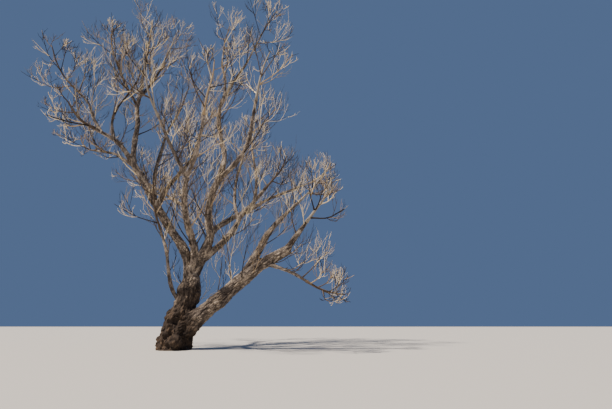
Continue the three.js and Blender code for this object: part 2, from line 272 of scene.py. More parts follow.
@dataclass
class Skeleton:
    """The trunk and the limbs, laid out by the same named sizes as the solids.

    The solids' flare swings round the foot, and flare_mean is its mean share. Knots are a wave along
    a limb, which starts by its girth and fades out towards its tip.
    """

    trunk_way: tuple[tuple[float, float, float], ...] = (
        (0.0, 0.0, 0.0),
        (0.0, 0.0, 0.44),
        (0.14, 0.04, 1.05),
        (0.16, 0.08, 1.62),
    )
    foot_radius: float = 0.318
    stem_radius: float = 0.245
    waist_height: float = 0.7
    waist_depth: float = 0.23
    head_radius: float = 0.165
    head_start: float = 1.25
    flare: float = 0.22
    flare_mean: float = 0.6
    flare_height: float = 0.11
    collar: float = 0.32
    collar_girths: float = 2.4
    knots: float = 0.07
    knot_pitch: float = 8.5
    knot_phase: float = 1000.0
    knot_fade: float = 4.0
    limbs: dict[str, GrownLimb] = field(default_factory=dict)

    def __post_init__(self) -> None:
        """Lays out the trunk, and then each limb from the limb that it is on."""
        way = Way([Vector(p) for p in self.trunk_way])
        self.limbs["trunk"] = GrownLimb("trunk", way, self.trunk_way[-1][2], self.trunk_radius)
        for limb in LIMBS:
            points = [self.limbs[limb.on].way.point(limb.at)]
            for bearing, climb in limb.way:
                points.append(points[-1] + heading_of(bearing, climb) * limb.step)
            self.limbs[limb.name] = GrownLimb(
                limb.name, Way(points), limb.length, self.radius_of(limb), limb.twigs
            )

    def trunk_radius(self, share: float) -> float:
        """Gives the trunk's mean radius, which is flared at the ground and slim at the fork.

        Args:
            share: 0 at the ground and 1 at the trunk's head.

        Returns:
            The radius.
        """
        height = share * self.trunk_way[-1][2]
        waist = (height - self.waist_height + self.waist_depth) / (2 * self.waist_depth)
        head = (height - self.head_start) / (self.trunk_way[-1][2] - self.head_start)
        narrowing, heading = (float(smooth_step(np.array(t))) for t in (waist, head))
        plain = self.foot_radius + (self.stem_radius - self.foot_radius) * narrowing
        plain += (self.head_radius - self.stem_radius) * heading
        return plain * (1 + self.flare_mean * self.flare * math.exp(-height / self.flare_height))

    def radius_of(self, limb: Limb) -> Callable[[float], float]:
        """Gives a limb's radius along its way.

        Args:
            limb: the limb's row.

        Returns:
            A function from the share along to the radius: a taper, a collar at the foot, and knots.
        """
        foot, tip = limb.girth

        def radius(share: float) -> float:
            """Gives the radius at a share of the limb.

            Args:
                share: 0 at the foot and 1 at the tip.

            Returns:
                The radius.
            """
            run = share * limb.length / (self.collar_girths * foot)
            wave = math.sin(share * limb.length * self.knot_pitch + foot * self.knot_phase)
            knots = wave * self.knots * min(1.0, self.knot_fade * (1 - share))
            return (foot + (tip - foot) * share) * (1 + self.collar * math.exp(-run * run) + knots)

        return radius


def lattice_noise(points: np.ndarray, seed: int) -> np.ndarray:
    """Gives smooth noise with one lattice cell to a unit.

    Args:
        points: places, one row each.
        seed: which noise.

    Returns:
        One value a point, mostly between -0.7 and 0.7.
    """
    cell = np.floor(points).astype(np.int64)
    inside = points - cell
    fade = inside**3 * (inside * (inside * 6 - 15) + 10)
    total = np.zeros(len(points))
    for corner in range(2**3):
        offset = np.array([corner & 1, corner >> 1 & 1, corner >> 2 & 1])
        slope = lattice_chances(cell + offset, seed, 3) * 2 - 1
        weight = np.prod(np.where(offset == 1, fade, 1 - fade), axis=1)
        total += weight * np.sum(slope * (inside - offset), axis=1)
    return total


def lattice_chances(cell: np.ndarray, seed: int, columns: int) -> np.ndarray:
    """Gives numbers from 0 to 1 that depend only on a lattice point and the seed.

    Args:
        cell: whole-number places, one row each.
        seed: which numbers.
        columns: how many for each place.

    Returns:
        One row a place.
    """
    across, over, up = (cell[:, axis] * factor for axis, factor in enumerate(LATTICE_FACTORS))
    key = across ^ over ^ up ^ seed * LATTICE_SEED_FACTOR
    found = []
    for column in range(columns):
        mixed = (key + column * COLUMN_FACTOR + COLUMN_START) & MASK
        for _ in range(2):
            mixed = (mixed ^ mixed >> 16) * MIXER & MASK
        found.append((mixed ^ mixed >> 16) / MASK)
    return np.stack(found, axis=1)


def plate_edges(points: np.ndarray, seed: int) -> np.ndarray:
    """Gives how far each point is from the edge of its plate, where one plate fills about a unit.

    Args:
        points: places, one row each.
        seed: which pattern of plates.

    Returns:
        0 on an edge, rising to about 0.5 in the middle of a plate.
    """
    cell = np.floor(points).astype(np.int64)
    nearest = np.full(len(points), FAR)
    second = np.full(len(points), FAR)
    for step in np.ndindex(3, 3, 3):
        there = cell + np.array(step) - 1
        gap = np.linalg.norm(there + lattice_chances(there, seed, 3) - points, axis=1)
        second = np.minimum(second, np.maximum(nearest, gap))
        nearest = np.minimum(nearest, gap)
    return second - nearest


def smooth_step(values: np.ndarray) -> np.ndarray:
    """Eases values from 0 to 1, and holds them there."""
    t = np.clip(values, 0.0, 1.0)
    return t * t * (3 - 2 * t)


def bring_to_front(piece: bpy.types.Object) -> None:
    """Makes a piece the only one that operators act on.

    Args:
        piece: the piece that is to be selected and active.
    """
    bpy.ops.object.select_all(action="DESELECT")
    piece.select_set(True)
    bpy.context.view_layer.objects.active = piece


def place_applied(piece: bpy.types.Object) -> None:
    """Puts a piece's place into its mesh, so that its object sits at the origin."""
    bring_to_front(piece)
    bpy.ops.object.transform_apply(location=True, rotation=True, scale=True)


def sweep(
    name: str,
    centres: Sequence[Vector],
    headings: Sequence[Vector],
    radii: Sequence[float],
    sides: int,
    least_turn: float = 1e-4,
) -> bpy.types.Object:
    """Draws a closed round limb by extruding, turning and sizing one ring.

    Args:
        name: the new object's name.
        centres: each ring's middle.
        headings: the way that each ring faces.
        radii: each ring's radius.
        sides: how many sides a ring has.
        least_turn: the angle in radians up to which a ring goes on unturned.

    Returns:
        The limb, with its place in its mesh.
    """
    bpy.ops.object.select_all(action="DESELECT")
    bpy.ops.mesh.primitive_circle_add(
        vertices=sides,
        radius=radii[0],
        fill_type="NGON",
        location=centres[0],
        rotation=UP.rotation_difference(headings[0]).to_euler(),
    )
    limb = bpy.context.object
    limb.name = name
    bpy.ops.object.mode_set(mode="EDIT")
    bpy.ops.mesh.select_all(action="SELECT")
    for i in range(1, len(centres)):
        step = centres[i] - centres[i - 1]
        bpy.ops.mesh.extrude_region_move(TRANSFORM_OT_translate={"value": step})
        angle = headings[i - 1].angle(headings[i])
        if angle > least_turn:
            axis = headings[i - 1].cross(headings[i]).normalized()
            bpy.ops.transform.rotate(
                value=angle,
                orient_axis="Z",
                orient_type="GLOBAL",
                orient_matrix=axis.to_track_quat("Z", "Y").to_matrix(),
                orient_matrix_type="GLOBAL",
                constraint_axis=(False, False, True),
                center_override=centres[i],
            )
        size = radii[i] / radii[i - 1]
        bpy.ops.transform.resize(value=(size, size, size), center_override=centres[i])
    bpy.ops.mesh.select_all(action="SELECT")
    bpy.ops.mesh.normals_make_consistent(inside=False)
    bpy.ops.object.mode_set(mode="OBJECT")
    place_applied(limb)
    return limb


@dataclass
class Grain:
    """Where each point of the wood lies: on which limb, how far along, and which way round."""

    limb: np.ndarray
    along: np.ndarray
    round: np.ndarray
    radius: np.ndarray
    lead: np.ndarray

    @classmethod
    def of(
        cls,
        points: np.ndarray,
        skeleton: Skeleton,
        pitch: float = 0.07,
        blend: float = 0.06,
        margin: tuple[float, float] = (1.6, 0.05),
        deepest: float = 0.05,
        stations: int = 40,
        least_legs: int = 4,
    ) -> "Grain":
        """Finds the nearest limb's surface for each point.

        Args:
            points: places on the wood, one row each.
            skeleton: the laid-out limbs.
            pitch: how long the straight legs are that stand in for a limb's curve.
            blend: over what distance the radius changes from one limb's to the next one's.
            margin: how far from a limb's way its surface is looked for, in foot radii and in metres.
            deepest: how far under a limb's surface its pull still grows.
            stations: in how many steps along a limb its radius is worked out.
            least_legs: how many legs even the shortest limb has.

        Returns:
            The grain. lead says how much nearer the nearest limb is than the next one.
        """
        count = len(points)
        best = np.full(count, FAR)
        second = np.full(count, FAR)
        limb_of = np.zeros(count, int)
        along, turn = np.zeros(count), np.zeros(count)
        pulls, girths = np.full(count, TRACE), np.zeros(count)
        marks = np.linspace(0, 1, stations + 1)
        for index, limb in enumerate(skeleton.limbs.values()):
            legs = max(least_legs, round(limb.length / pitch))
            knots = np.array([limb.way.point(i / legs) for i in range(legs + 1)])
            reach = limb.radius(0.0) * margin[0] + margin[1]
            near = np.all((points > knots.min(0) - reach) & (points < knots.max(0) + reach), axis=1)
            chosen = np.flatnonzero(near)
            if not len(chosen):
                continue
            gap, share, leg = nearest_on_legs(points[chosen], knots)
            radii = [limb.radius(i / stations) for i in range(stations + 1)]
            radius = np.interp(share, marks, radii)
            height = gap - radius
            wins = height < best[chosen]
            second[chosen] = np.where(wins, best[chosen], np.minimum(second[chosen], height))
            winners = chosen[wins]
            best[winners] = height[wins]
            limb_of[winners] = index
            along[winners] = share[wins] * limb.length
            pull = np.exp(-np.clip(height, -deepest, FAR) / blend)
            pulls[chosen] += pull
            girths[chosen] += pull * radius
            turn[winners] = angle_round(points[winners], knots, leg[wins])
        return cls(limb_of, along, turn, girths / pulls, second - best)


def nearest_on_legs(
    points: np.ndarray, knots: np.ndarray
) -> tuple[np.ndarray, np.ndarray, np.ndarray]:
    """Finds the nearest place on a chain of straight legs.

    Args:
        points: places, one row each.
        knots: the chain's corners.

    Returns:
        The distance, the share of the chain, and the number of the nearest leg, for each point.
    """
    gap = np.full(len(points), FAR)
    share, leg = np.zeros(len(points)), np.zeros(len(points), int)
    legs = len(knots) - 1
    for i in range(legs):
        start, run = knots[i], knots[i + 1] - knots[i]
        t = np.clip((points - start) @ run / (run @ run), 0.0, 1.0)
        far = np.linalg.norm(points - start - t[:, None] * run, axis=1)
        closer = far < gap
        gap[closer] = far[closer]
        share[closer] = (i + t[closer]) / legs
        leg[closer] = i
    return gap, share, leg


def angle_round(points: np.ndarray, knots: np.ndarray, leg: np.ndarray) -> np.ndarray:
    """Gives the angle of points round a chain, from a side that turns no more than the chain.

    Args:
        points: places, one row each.
        knots: the chain's corners.
        leg: the number of each point's leg.

    Returns:
        Angles in radians.
    """
    runs = np.diff(knots, axis=0)
    runs /= np.linalg.norm(runs, axis=1)[:, None]
    side = np.array([1.0, 0.0, 0.0])
    sides = []
    for run in runs:
        side = side - (side @ run) * run
        side /= np.linalg.norm(side)
        sides.append(side)
    sides = np.array(sides)
    fronts = np.cross(sides, runs)
    out = points - knots[leg]
    return np.arctan2(np.sum(out * fronts[leg], axis=1), np.sum(out * sides[leg], axis=1))


@dataclass(frozen=True)
class Buttresses:
    """The root flare: short ribs that lean against the trunk's foot, each a little unlike the next.

    The mean reach is a share of the reach. A sway is by how much that share, or the bearing in
    degrees, differs from rib to rib, and how fast it changes.
    """

    count: int = 6
    reach: float = 0.31
    mean_reach: float = 0.93
    reach_sway: tuple[float, float] = (0.07, 1.7)
    bearing_sway: tuple[float, float] = (14.0, 2.3)
    twist: float = 9.0
    sunk: float = 0.06
    knee_at: float = 0.45
    knee_inset: float = 0.035
    head_inset: float = 0.10
    head_height: float = 0.55
    foot_girth: float = 0.088
    thinning: float = 0.028
    rings: int = 6
    sides: int = 12

    def draw(self, trunk_radius: float) -> list[bpy.types.Object]:
        """Draws the ribs.

        Args:
            trunk_radius: the trunk's radius at its foot, without the flare.

        Returns:
            One closed mesh a rib.
        """
        drawn = []
        shares = [i / self.rings for i in range(self.rings + 1)]
        far, far_pace = self.reach_sway
        aside, aside_pace = self.bearing_sway
        for rib in range(self.count):
            bearing = 360 / self.count * rib + aside * math.sin(aside_pace * rib)
            reach = self.mean_reach + far * math.cos(far_pace * rib)
            foot = heading_of(bearing, 0) * self.reach * reach
            head = heading_of(bearing + self.twist, 0) * (trunk_radius - self.head_inset)
            head += UP * self.head_height
            knee = foot.lerp(head, self.knee_at) - heading_of(bearing, 0) * self.knee_inset
            way = Way([foot - UP * self.sunk, knee, head])
            drawn.append(
                sweep(
                    f"drawn_buttress_{rib}",
                    [way.point(s) for s in shares],
                    [way.tangent(s) for s in shares],
                    [self.foot_girth - self.thinning * s for s in shares],
                    self.sides,
                )
            )
        return drawn


@dataclass(frozen=True)
class Burls:
    """The burls on the trunk, each a cluster of knobs.

    A row holds a burl's bearing and height, its knobs' mean radius, and their number. A measure that
    is a pair is the least value, and how much chance adds to it.
    """

    rows: tuple[tuple[float, float, float, int], ...] = (
        (200.0, 0.16, 0.15, 7),
        (236.0, 0.66, 0.15, 5),
        (300.0, 0.36, 0.12, 3),
        (312.0, 1.6, 0.11, 5),
    )
    proud: float = 0.035
    width: float = 60.0
    height: float = 0.3
    lowest: float = 0.02
    size: tuple[float, float] = (0.7, 0.6)
    breadth: float = 1.1
    tallness: tuple[float, float] = (0.9, 0.5)
    seed: int = 700
    seed_step: int = 20
    subdivisions: int = 3

    def draw(self, trunk: GrownLimb) -> list[bpy.types.Object]:
        """Draws the knobs.

        Args:
            trunk: the laid-out trunk.

        Returns:
            One closed mesh a knob.
        """
        drawn = []
        for burl, (bearing, height, size, knobs) in enumerate(self.rows):
            for knob in range(knobs):
                chance = Chances(self.seed + self.seed_step * burl + knob)
                out = heading_of(bearing + (chance.draw() - 0.5) * self.width, 0)
                at = max(height + (chance.draw() - 0.5) * self.height, self.lowest)
                share = at / trunk.length
                radius = size * chance.above(*self.size)
                lead = trunk.radius(share) + self.proud - radius
                bpy.ops.object.select_all(action="DESELECT")
                bpy.ops.mesh.primitive_ico_sphere_add(
                    subdivisions=self.subdivisions,
                    radius=radius,
                    location=trunk.way.point(share) + out * lead,
                )
                lump = bpy.context.object
                lump.name = f"drawn_knob_{burl}_{knob}"
                bpy.ops.object.mode_set(mode="EDIT")
                bpy.ops.mesh.select_all(action="SELECT")
                bpy.ops.transform.resize(value=(1.0, self.breadth, chance.above(*self.tallness)))
                bpy.ops.object.mode_set(mode="OBJECT")
                place_applied(lump)
                drawn.append(lump)
        return drawn


@dataclass(frozen=True)
class Stubs:
    """The broken stubs of lost twigs along the boughs.

    A stub's thickness and how deep its foot sits are shares of the bough's radius there. A measure
    that is a pair is the least value, and how much chance adds to it. The profile gives the
    thickness at shares of the length.
    """

    pitch: float = 0.9
    at: tuple[float, float] = (0.2, 0.72)
    lean: float = 0.5
    rise: float = 0.35
    thickness: tuple[float, float] = (0.26, 0.16)
    depth: float = 0.5
    proud: tuple[float, float] = (0.03, 0.05)
    profile: tuple[tuple[float, float], ...] = ((0.0, 1.3), (0.5, 1.05), (0.85, 0.95), (1.0, 0.6))
    seed: int = 4000
    seed_step: int = 40
    sides: int = 8

    def draw(self, limb: GrownLimb, index: int) -> list[bpy.types.Object]:
        """Draws the stubs of one bough.

        Args:
            limb: the laid-out bough.
            index: its number, which seeds its stubs.

        Returns:
            One closed mesh a stub.
        """
        drawn = []
        for stub in range(int(limb.length / self.pitch)):
            chance = Chances(self.seed + self.seed_step * index + stub)
            share = chance.above(*self.at)
            along = limb.way.tangent(share)
            side = along.orthogonal().normalized()
            turn = chance.draw() * math.tau
            out = side * math.cos(turn) + along.cross(side) * math.sin(turn)
            way = (out + along * self.lean + UP * self.rise).normalized()
            girth = limb.radius(share)
            thick = girth * chance.above(*self.thickness)
            foot = limb.way.point(share) + out * girth * self.depth
            reach = girth * self.depth + self.proud[0] + self.proud[1] * chance.draw()
            drawn.append(
                sweep(
                    f"drawn_stub_{index}_{stub}",
                    [foot + way * reach * s for s, _ in self.profile],
                    [way] * len(self.profile),
                    [thick * width for _, width in self.profile],
                    self.sides,
                )
            )
        return drawn


class Pattern(IntEnum):
    """The bark's patterns, each with the seed of its noise."""

    RIDGES = 21
    FINER_RIDGES = 22
    PLATES = 23
    CRACKED = 24
    FLAKES = 31
    FLUTES = 41
    LUMPS = 51
    KNOTS = 61
    FOLDS = 71
    FINER_FOLDS = 72
    AGED = 81


@dataclass(frozen=True)
class Relief:
    """The bark's relief, from lumps and flutes down to flakes, with deep folds in the trunk's foot.

    A form that runs along the limb has its width and how many times as long it is, and is smaller
    on a limb under full_girth. A crack lies where its pattern stays under a strength. Ridges, cracks
    and flakes are as high as a share of the roughness. Flutes, lumps and knots are as high as a
    share of the limb's radius. A fade is the distance over which something comes in, and a mean is
    taken off so that about as much wood is lifted as sunk.
    """

    ridges: tuple[float, float] = (0.085, 4.5)
    finer_ridges: float = 0.5
    ridge_crack: float = 0.16
    plates: tuple[float, float] = (0.11, 1.8)
    plate_crack: float = 0.25
    plate_crack_share: float = 0.75
    cracked: tuple[float, float] = (0.3, 1.5)
    cracked_share: float = 0.75
    cracked_contrast: float = 1.6
    flakes: tuple[float, float] = (0.045, 2.0)
    flutes: tuple[float, float] = (0.16, 5.0)
    lump_size: float = 0.34
    knot_size: float = 0.11
    knot_mean: float = 0.17
    fold_size: float = 0.26
    fold_mean: float = 0.25
    fold_crack: float = 0.13
    finer_folds: float = 2.1
    finer_fold_share: float = 0.4
    gnarl_top: float = 1.3
    gnarl_fade: float = 0.6
    gnarl_girth: float = 0.15
    gnarl_girth_fade: float = 0.1
    gnarl_depth: float = 0.14
    roughness: float = 0.06
    roughness_power: float = 0.62
    roughness_limits: tuple[float, float] = (0.0016, 0.024)
    ridge_height: float = 0.9
    crack_depth: float = 0.75
    flake_height: float = 0.6
    rest_height: float = 0.1
    flute_height: float = 0.16
    lump_height: float = 0.16
    knot_height: float = 0.2
    limb_shift: float = 3.71
    full_girth: float = 0.3
    coarse_power: float = 0.35
    least_coarse: float = 0.5
    fork_share: float = 0.35
    fork_fade: float = 0.035
    ground_share: float = 0.4
    ground_fade: float = 0.05
    # How dark the bark grows: older bark and painted shade, most on stout wood low down.
    age_and_shade_girth: float = 0.1
    age_and_shade_girth_fade: float = 0.17
    age_and_shade_patchiness: float = 0.25
    age_and_shade_top: float = 2.4
    age_and_shade_fade: float = 1.7
    age_and_shade_aloft: float = 0.35

    def laid_out(self, grain: Grain) -> np.ndarray:
        """Lays the bark out, for patterns that follow each limb.

        Args:
            grain: where the skin's points lie on their limbs.

        Returns:
            Each point's place in metres: round the limb in two columns and along it in the third.
        """
        return np.stack(
            [
                np.cos(grain.round) * grain.radius,
                np.sin(grain.round) * grain.radius,
                grain.along + grain.limb * self.limb_shift,
            ],
            axis=1,
        )

    def work_out(
        self, places: np.ndarray, grain: Grain, girths: np.ndarray
    ) -> tuple[np.ndarray, np.ndarray]:
        """Works out the relief.

        Args:
            places: the skin's points.
            grain: where they lie on their limbs.
            girths: each limb's radius at its middle.

        Returns:
            The height at each point, and how deep it lies in a furrow from 0 to 1, where the finish
            paints shade.
        """
        cloth = self.laid_out(grain)
        coarse = (girths[grain.limb] / self.full_girth) ** self.coarse_power
        coarse = np.clip(coarse, self.least_coarse, 1.0)[:, None]

        def scaled(width: float, stretch: float) -> np.ndarray:
            """Gives the places counted in spots so wide, and longer along the limb."""
            return cloth / (width * coarse * np.array([1, 1, stretch]))

        width, stretch = self.ridges
        ridges = lattice_noise(scaled(width, stretch), Pattern.RIDGES)
        finer = lattice_noise(scaled(width * self.finer_ridges, stretch), Pattern.FINER_RIDGES)
        ridges += self.finer_ridges * finer
        crack = 1 - smooth_step(np.abs(ridges) / self.ridge_crack)
        edge = plate_edges(scaled(*self.plates), Pattern.PLATES)
        plate_crack = self.plate_crack_share * (1 - smooth_step(edge / self.plate_crack))
        crack = np.maximum(crack, plate_crack)
        cracked = lattice_noise(scaled(*self.cracked), Pattern.CRACKED)
        crack *= smooth_step(self.cracked_share + self.cracked_contrast * cracked)
        flakes = lattice_noise(scaled(*self.flakes), Pattern.FLAKES)
        flute = lattice_noise(scaled(*self.flutes), Pattern.FLUTES)
        lump = lattice_noise(places / self.lump_size, Pattern.LUMPS)
        knot = np.abs(lattice_noise(places / self.knot_size, Pattern.KNOTS))
        fold = np.abs(lattice_noise(places / self.fold_size, Pattern.FOLDS))
        finer = lattice_noise(places / self.fold_size * self.finer_folds, Pattern.FINER_FOLDS)
        fold += self.finer_fold_share * np.abs(finer)
        gnarl = smooth_step((self.gnarl_top - places[:, 2]) / self.gnarl_fade)
        gnarl *= smooth_step((grain.radius - self.gnarl_girth) / self.gnarl_girth_fade)
        crack = np.maximum(crack, gnarl * (1 - smooth_step(fold / self.fold_crack)))
        rough = np.clip(self.roughness * grain.radius**self.roughness_power, *self.roughness_limits)
        meet = smooth_step(grain.lead / self.fork_fade)
        height = rough * (
            self.ridge_height * np.abs(ridges)
            - self.crack_depth * crack
            + self.flake_height * flakes
            + self.rest_height
        )
        height *= self.fork_share + (1 - self.fork_share) * meet
        height += self.flute_height * grain.radius * flute * meet
        height += (
            self.lump_height * grain.radius * lump
            + self.knot_height * grain.radius * (knot - self.knot_mean)
        )
        height += self.gnarl_depth * gnarl * (fold - self.fold_mean)
        ease = smooth_step(places[:, 2] / self.ground_fade)
        return height * (self.ground_share + (1 - self.ground_share) * ease), crack

    def age(self, places: np.ndarray, grain: Grain) -> np.ndarray:
        """Tells how dark the bark is, for older bark and for painted shade, which is most on stout
        wood low down.

        Args:
            places: the skin's points.
            grain: where they lie on their limbs.

        Returns:
            0 for young bark, up to 1 for old bark in painted shade.
        """
        patches = lattice_noise(places / self.lump_size, Pattern.AGED)
        stout = (grain.radius - self.age_and_shade_girth) / self.age_and_shade_girth_fade
        age = smooth_step(stout + self.age_and_shade_patchiness * patches)
        low = smooth_step((self.age_and_shade_top - places[:, 2]) / self.age_and_shade_fade)
        return age * (self.age_and_shade_aloft + (1 - self.age_and_shade_aloft) * low)


@dataclass
class Wood:
    """The trunk and boughs as one skin with the bark's relief, parted into pieces.

    ring_sides holds how many sides a limb has whose foot is wider than so much. A low dome closes
    the trunk's head, inside the boughs that leave it there.
    """

    skeleton: Skeleton
    groups: dict[str, tuple[str, ...]]
    buttresses: Buttresses = Buttresses()
    burls: Burls = Burls()
    stubs: Stubs = Stubs()
    bark: Relief = Relief()
    ring_pitch: float = 0.13
    least_rings: int = 5
    ring_sides: tuple[tuple[float, int], ...] = ((0.25, 28), (0.08, 20), (0.0, 12))
    trunk_sunk: float = 0.05
    dome_height: float = 0.1
    dome_share: float = 0.55
    voxel: float = 0.0105
    smoothing: int = 3
    smoothing_share: float = 0.5
    cut_height: float = 0.0005

    def build(self, finish: bpy.types.Material) -> list[bpy.types.Object]:
        """Models the wood and parts it.

        Args:
            finish: the bark's material.

        Returns:
            The pieces, one for each group of limbs.
        """
        limbs = self.skeleton.limbs
        drawn = [self.draw_limb(limb) for limb in limbs.values()]
        drawn += self.buttresses.draw(self.skeleton.foot_radius)
        drawn += self.burls.draw(limbs["trunk"])
        for index, limb in enumerate(limbs.values()):
            if limb.name != "trunk":
                drawn += self.stubs.draw(limb, index)
        skin = self.fuse(drawn)
        self.carve(skin)
        self.cut_level(skin)
        return self.part(skin, finish)

    def draw_limb(self, limb: GrownLimb) -> bpy.types.Object:
        """Draws one limb, or the trunk, as a row of rings.

        Args:
            limb: the laid-out limb.

        Returns:
            The drawn limb.
        """
        rings = max(self.least_rings, round(limb.length / self.ring_pitch))
        shares = [i / rings for i in range(rings + 1)]
        centres = [limb.way.point(s) for s in shares]
        headings = [limb.way.tangent(s) for s in shares]
        radii = [limb.radius(s) for s in shares]
        if limb.name == "trunk":
            centres.insert(0, centres[0] - UP * self.trunk_sunk)
            headings.insert(0, headings[0])
            radii.insert(0, radii[0])
            centres.append(centres[-1] + headings[-1] * self.dome_height)
            headings.append(headings[-1])
            radii.append(radii[-1] * self.dome_share)
        sides = next(count for girth, count in self.ring_sides if radii[0] > girth)
        return sweep(f"drawn_{limb.name}", centres, headings, radii, sides)

    def fuse(self, drawn: list[bpy.types.Object]) -> bpy.types.Object:
        """Joins what was drawn into one skin.

        Args:
            drawn: overlapping closed meshes.

        Returns:
            The skin, with the limbs running smoothly into each other.
        """
        bring_to_front(drawn[0])
        for limb in drawn:
            limb.select_set(True)
        bpy.ops.object.join()
        skin = bpy.context.object
        skin.name = "wood_skin"
        remesh = skin.modifiers.new("one_skin", "REMESH")
        remesh.mode = "VOXEL"
        remesh.voxel_size = self.voxel
        remesh.use_smooth_shade = True
        bpy.ops.object.modifier_apply(modifier=remesh.name)
        relax = skin.modifiers.new("run_together", "SMOOTH")
        relax.factor = self.smoothing_share
        relax.iterations = self.smoothing
        bpy.ops.object.modifier_apply(modifier=relax.name)
        return skin

    def carve(self, skin: bpy.types.Object) -> None:
        """Moves the skin in and out by the bark's relief, and keeps what the finish reads.

        Args:
            skin: the fused wood. It gets its grain, its furrows and its age as attributes, the last
                two
            carrying painted shade, and each face's group.
        """
        mesh = skin.data
        count = len(mesh.vertices)
        places = np.zeros(count * 3)
        mesh.vertices.foreach_get("co", places)
        places = places.reshape(-1, 3)
        outward = np.zeros(count * 3)
        mesh.vertex_normals.foreach_get("vector", outward)
        outward = outward.reshape(-1, 3)
        grain = Grain.of(places, self.skeleton)
        girths = np.array([limb.radius(0.5) for limb in self.skeleton.limbs.values()])
        height, furrow = self.bark.work_out(places, grain, girths)
        lifted = places + outward * height[:, None]
        mesh.vertices.foreach_set("co", lifted.ravel())
        kept = {
            "grain": self.bark.laid_out(grain),
            # The furrows carry painted shade into the finish.
            "furrow": furrow,
            # The age carries older bark and painted shade into the finish.
            "age": self.bark.age(places, grain),
        }
        for name, values in kept.items():
            kind = "FLOAT_VECTOR" if values.ndim == 2 else "FLOAT"
            layer = mesh.attributes.new(name, kind, "POINT")
            layer.data.foreach_set("vector" if values.ndim == 2 else "value", values.ravel())
        self.mark_groups(mesh, grain)
        mesh.update()

    def mark_groups(self, mesh: bpy.types.Mesh, grain: Grain) -> None:
        """Gives each face the number of its group, by the limb that it lies on.

        Args:
            mesh: the skin's mesh.
            grain: where its points lie.
        """
        names = list(self.skeleton.limbs)
        group_of = np.zeros(len(names), int)
        for number, members in enumerate(self.groups.values()):
            for name in members:
                group_of[names.index(name)] = number
        starts = np.zeros(len(mesh.polygons), int)
        mesh.polygons.foreach_get("loop_start", starts)
        corners = np.zeros(len(mesh.loops), int)
        mesh.loops.foreach_get("vertex_index", corners)
        for _ in self.groups:
            mesh.materials.append(None)
        numbers = group_of[grain.limb[corners[starts]]]
        mesh.polygons.foreach_set("material_index", numbers)
        mesh.attributes.new("group", "INT", "FACE").data.foreach_set("value", numbers)

    def cut_level(self, skin: bpy.types.Object) -> None:
        """Cuts the foot flat at ground level.

        Args:
            skin: the carved wood.
        """
        bring_to_front(skin)
        bpy.ops.object.mode_set(mode="EDIT")
        bpy.ops.mesh.select_all(action="SELECT")
        bpy.ops.mesh.bisect(
            plane_co=UP * self.cut_height, plane_no=UP, use_fill=True, clear_inner=True
        )
        bpy.ops.object.mode_set(mode="OBJECT")

    def part(
        self, skin: bpy.types.Object, finish: bpy.types.Material
    ) -> list[bpy.types.Object]:
        """Parts the skin by group and closes each piece.

        Args:
            skin: the carved wood.
            finish: the bark's material.

        Returns:
            The pieces, named for their groups.
        """
        bring_to_front(skin)
        bpy.ops.object.mode_set(mode="EDIT")
        bpy.ops.mesh.select_all(action="SELECT")
        bpy.ops.mesh.separate(type="MATERIAL")
        bpy.ops.object.mode_set(mode="OBJECT")
        pieces = list(bpy.context.selected_objects)
        for piece in pieces:
            number = piece.data.attributes["group"].data[0].value
            name = list(self.groups)[number]
            piece.name = piece.data.name = name
            piece.data.materials.clear()
            piece.data.materials.append(finish)
            piece.data.attributes.remove(piece.data.attributes["group"])
            bring_to_front(piece)
            bpy.ops.object.mode_set(mode="EDIT")
            bpy.ops.mesh.select_mode(type="EDGE")
            bpy.ops.mesh.select_all(action="DESELECT")
            bpy.ops.mesh.select_non_manifold(use_wire=False, use_multi_face=False, use_verts=False)
            # Sharp rims keep the bark's shading even up to each cut. A fan from the middle of the
            # wood closes the cut, and stays inside the limb.
            bpy.ops.mesh.mark_sharp()
            bpy.ops.mesh.fill_holes(sides=0)
            bpy.ops.mesh.poke()
            bpy.ops.mesh.faces_shade_flat()
            bpy.ops.object.mode_set(mode="OBJECT")
            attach(piece, BODY)
            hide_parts(*self.groups[name])
            piece.data.calc_loop_triangles()
            LOG.info("%s: %d triangles", name, len(piece.data.loop_triangles))
        return pieces


class Tint(Enum):
    """The colours of dead twigs, from sun-bleached ones made paler still as a painted highlight, to
    those in bark that still clings dark, made darker still as painted shade.
    """

    # Sun-bleached wood, made paler still as a painted highlight for sunlit sprays.
    BLEACHED = "#efdbb2"
    TAN = "#a08b6e"
    SILVER = "#8f867a"
    BROWN = "#57493b"
    # Dark clinging bark, made darker still as painted shade for sprays in shadow.
    DARK = "#2b241f"


@dataclass(frozen=True)
class TwigRule:
    """How the twigs of one order grow.

    A twig has so many bends. It carries the twigs that the solids have on it, and finer ones between
    them from the share first upward. spread is their angle away in degrees, ratio and finer_ratio
    their lengths against its own, and lift how strongly a finer twig turns up. Its mesh has so many
    sides and rings, and its tip is taper times as thick as its foot.
    """

    bends: int
    kept: int
    finer: int
    first: float
    spread: float
    ratio: float
    finer_ratio: float
    lift: float
    sides: int
    rings: int
    taper: float


@dataclass(frozen=True)
class Twig:
    """A twig about to grow: its foot, its heading, its length and radius, and what it is part of."""

    foot: np.ndarray
    heading: np.ndarray
    length: float
    radius: float
    order: int
    seed: int
    kept: bool = True


@dataclass(frozen=True)
class Mass:
    """One mass of twigs: the bough's tip that it grows from, and the ball of air that it keeps to."""

    limb: GrownLimb
    index: int
    tip: np.ndarray
    heading: np.ndarray
    centre: np.ndarray
    reach: float

    @property
    def node(self) -> str:
        """Gives the name of the solid that stands for the mass."""
        return self.limb.name.rsplit("_", 1)[0] + "_twigs"


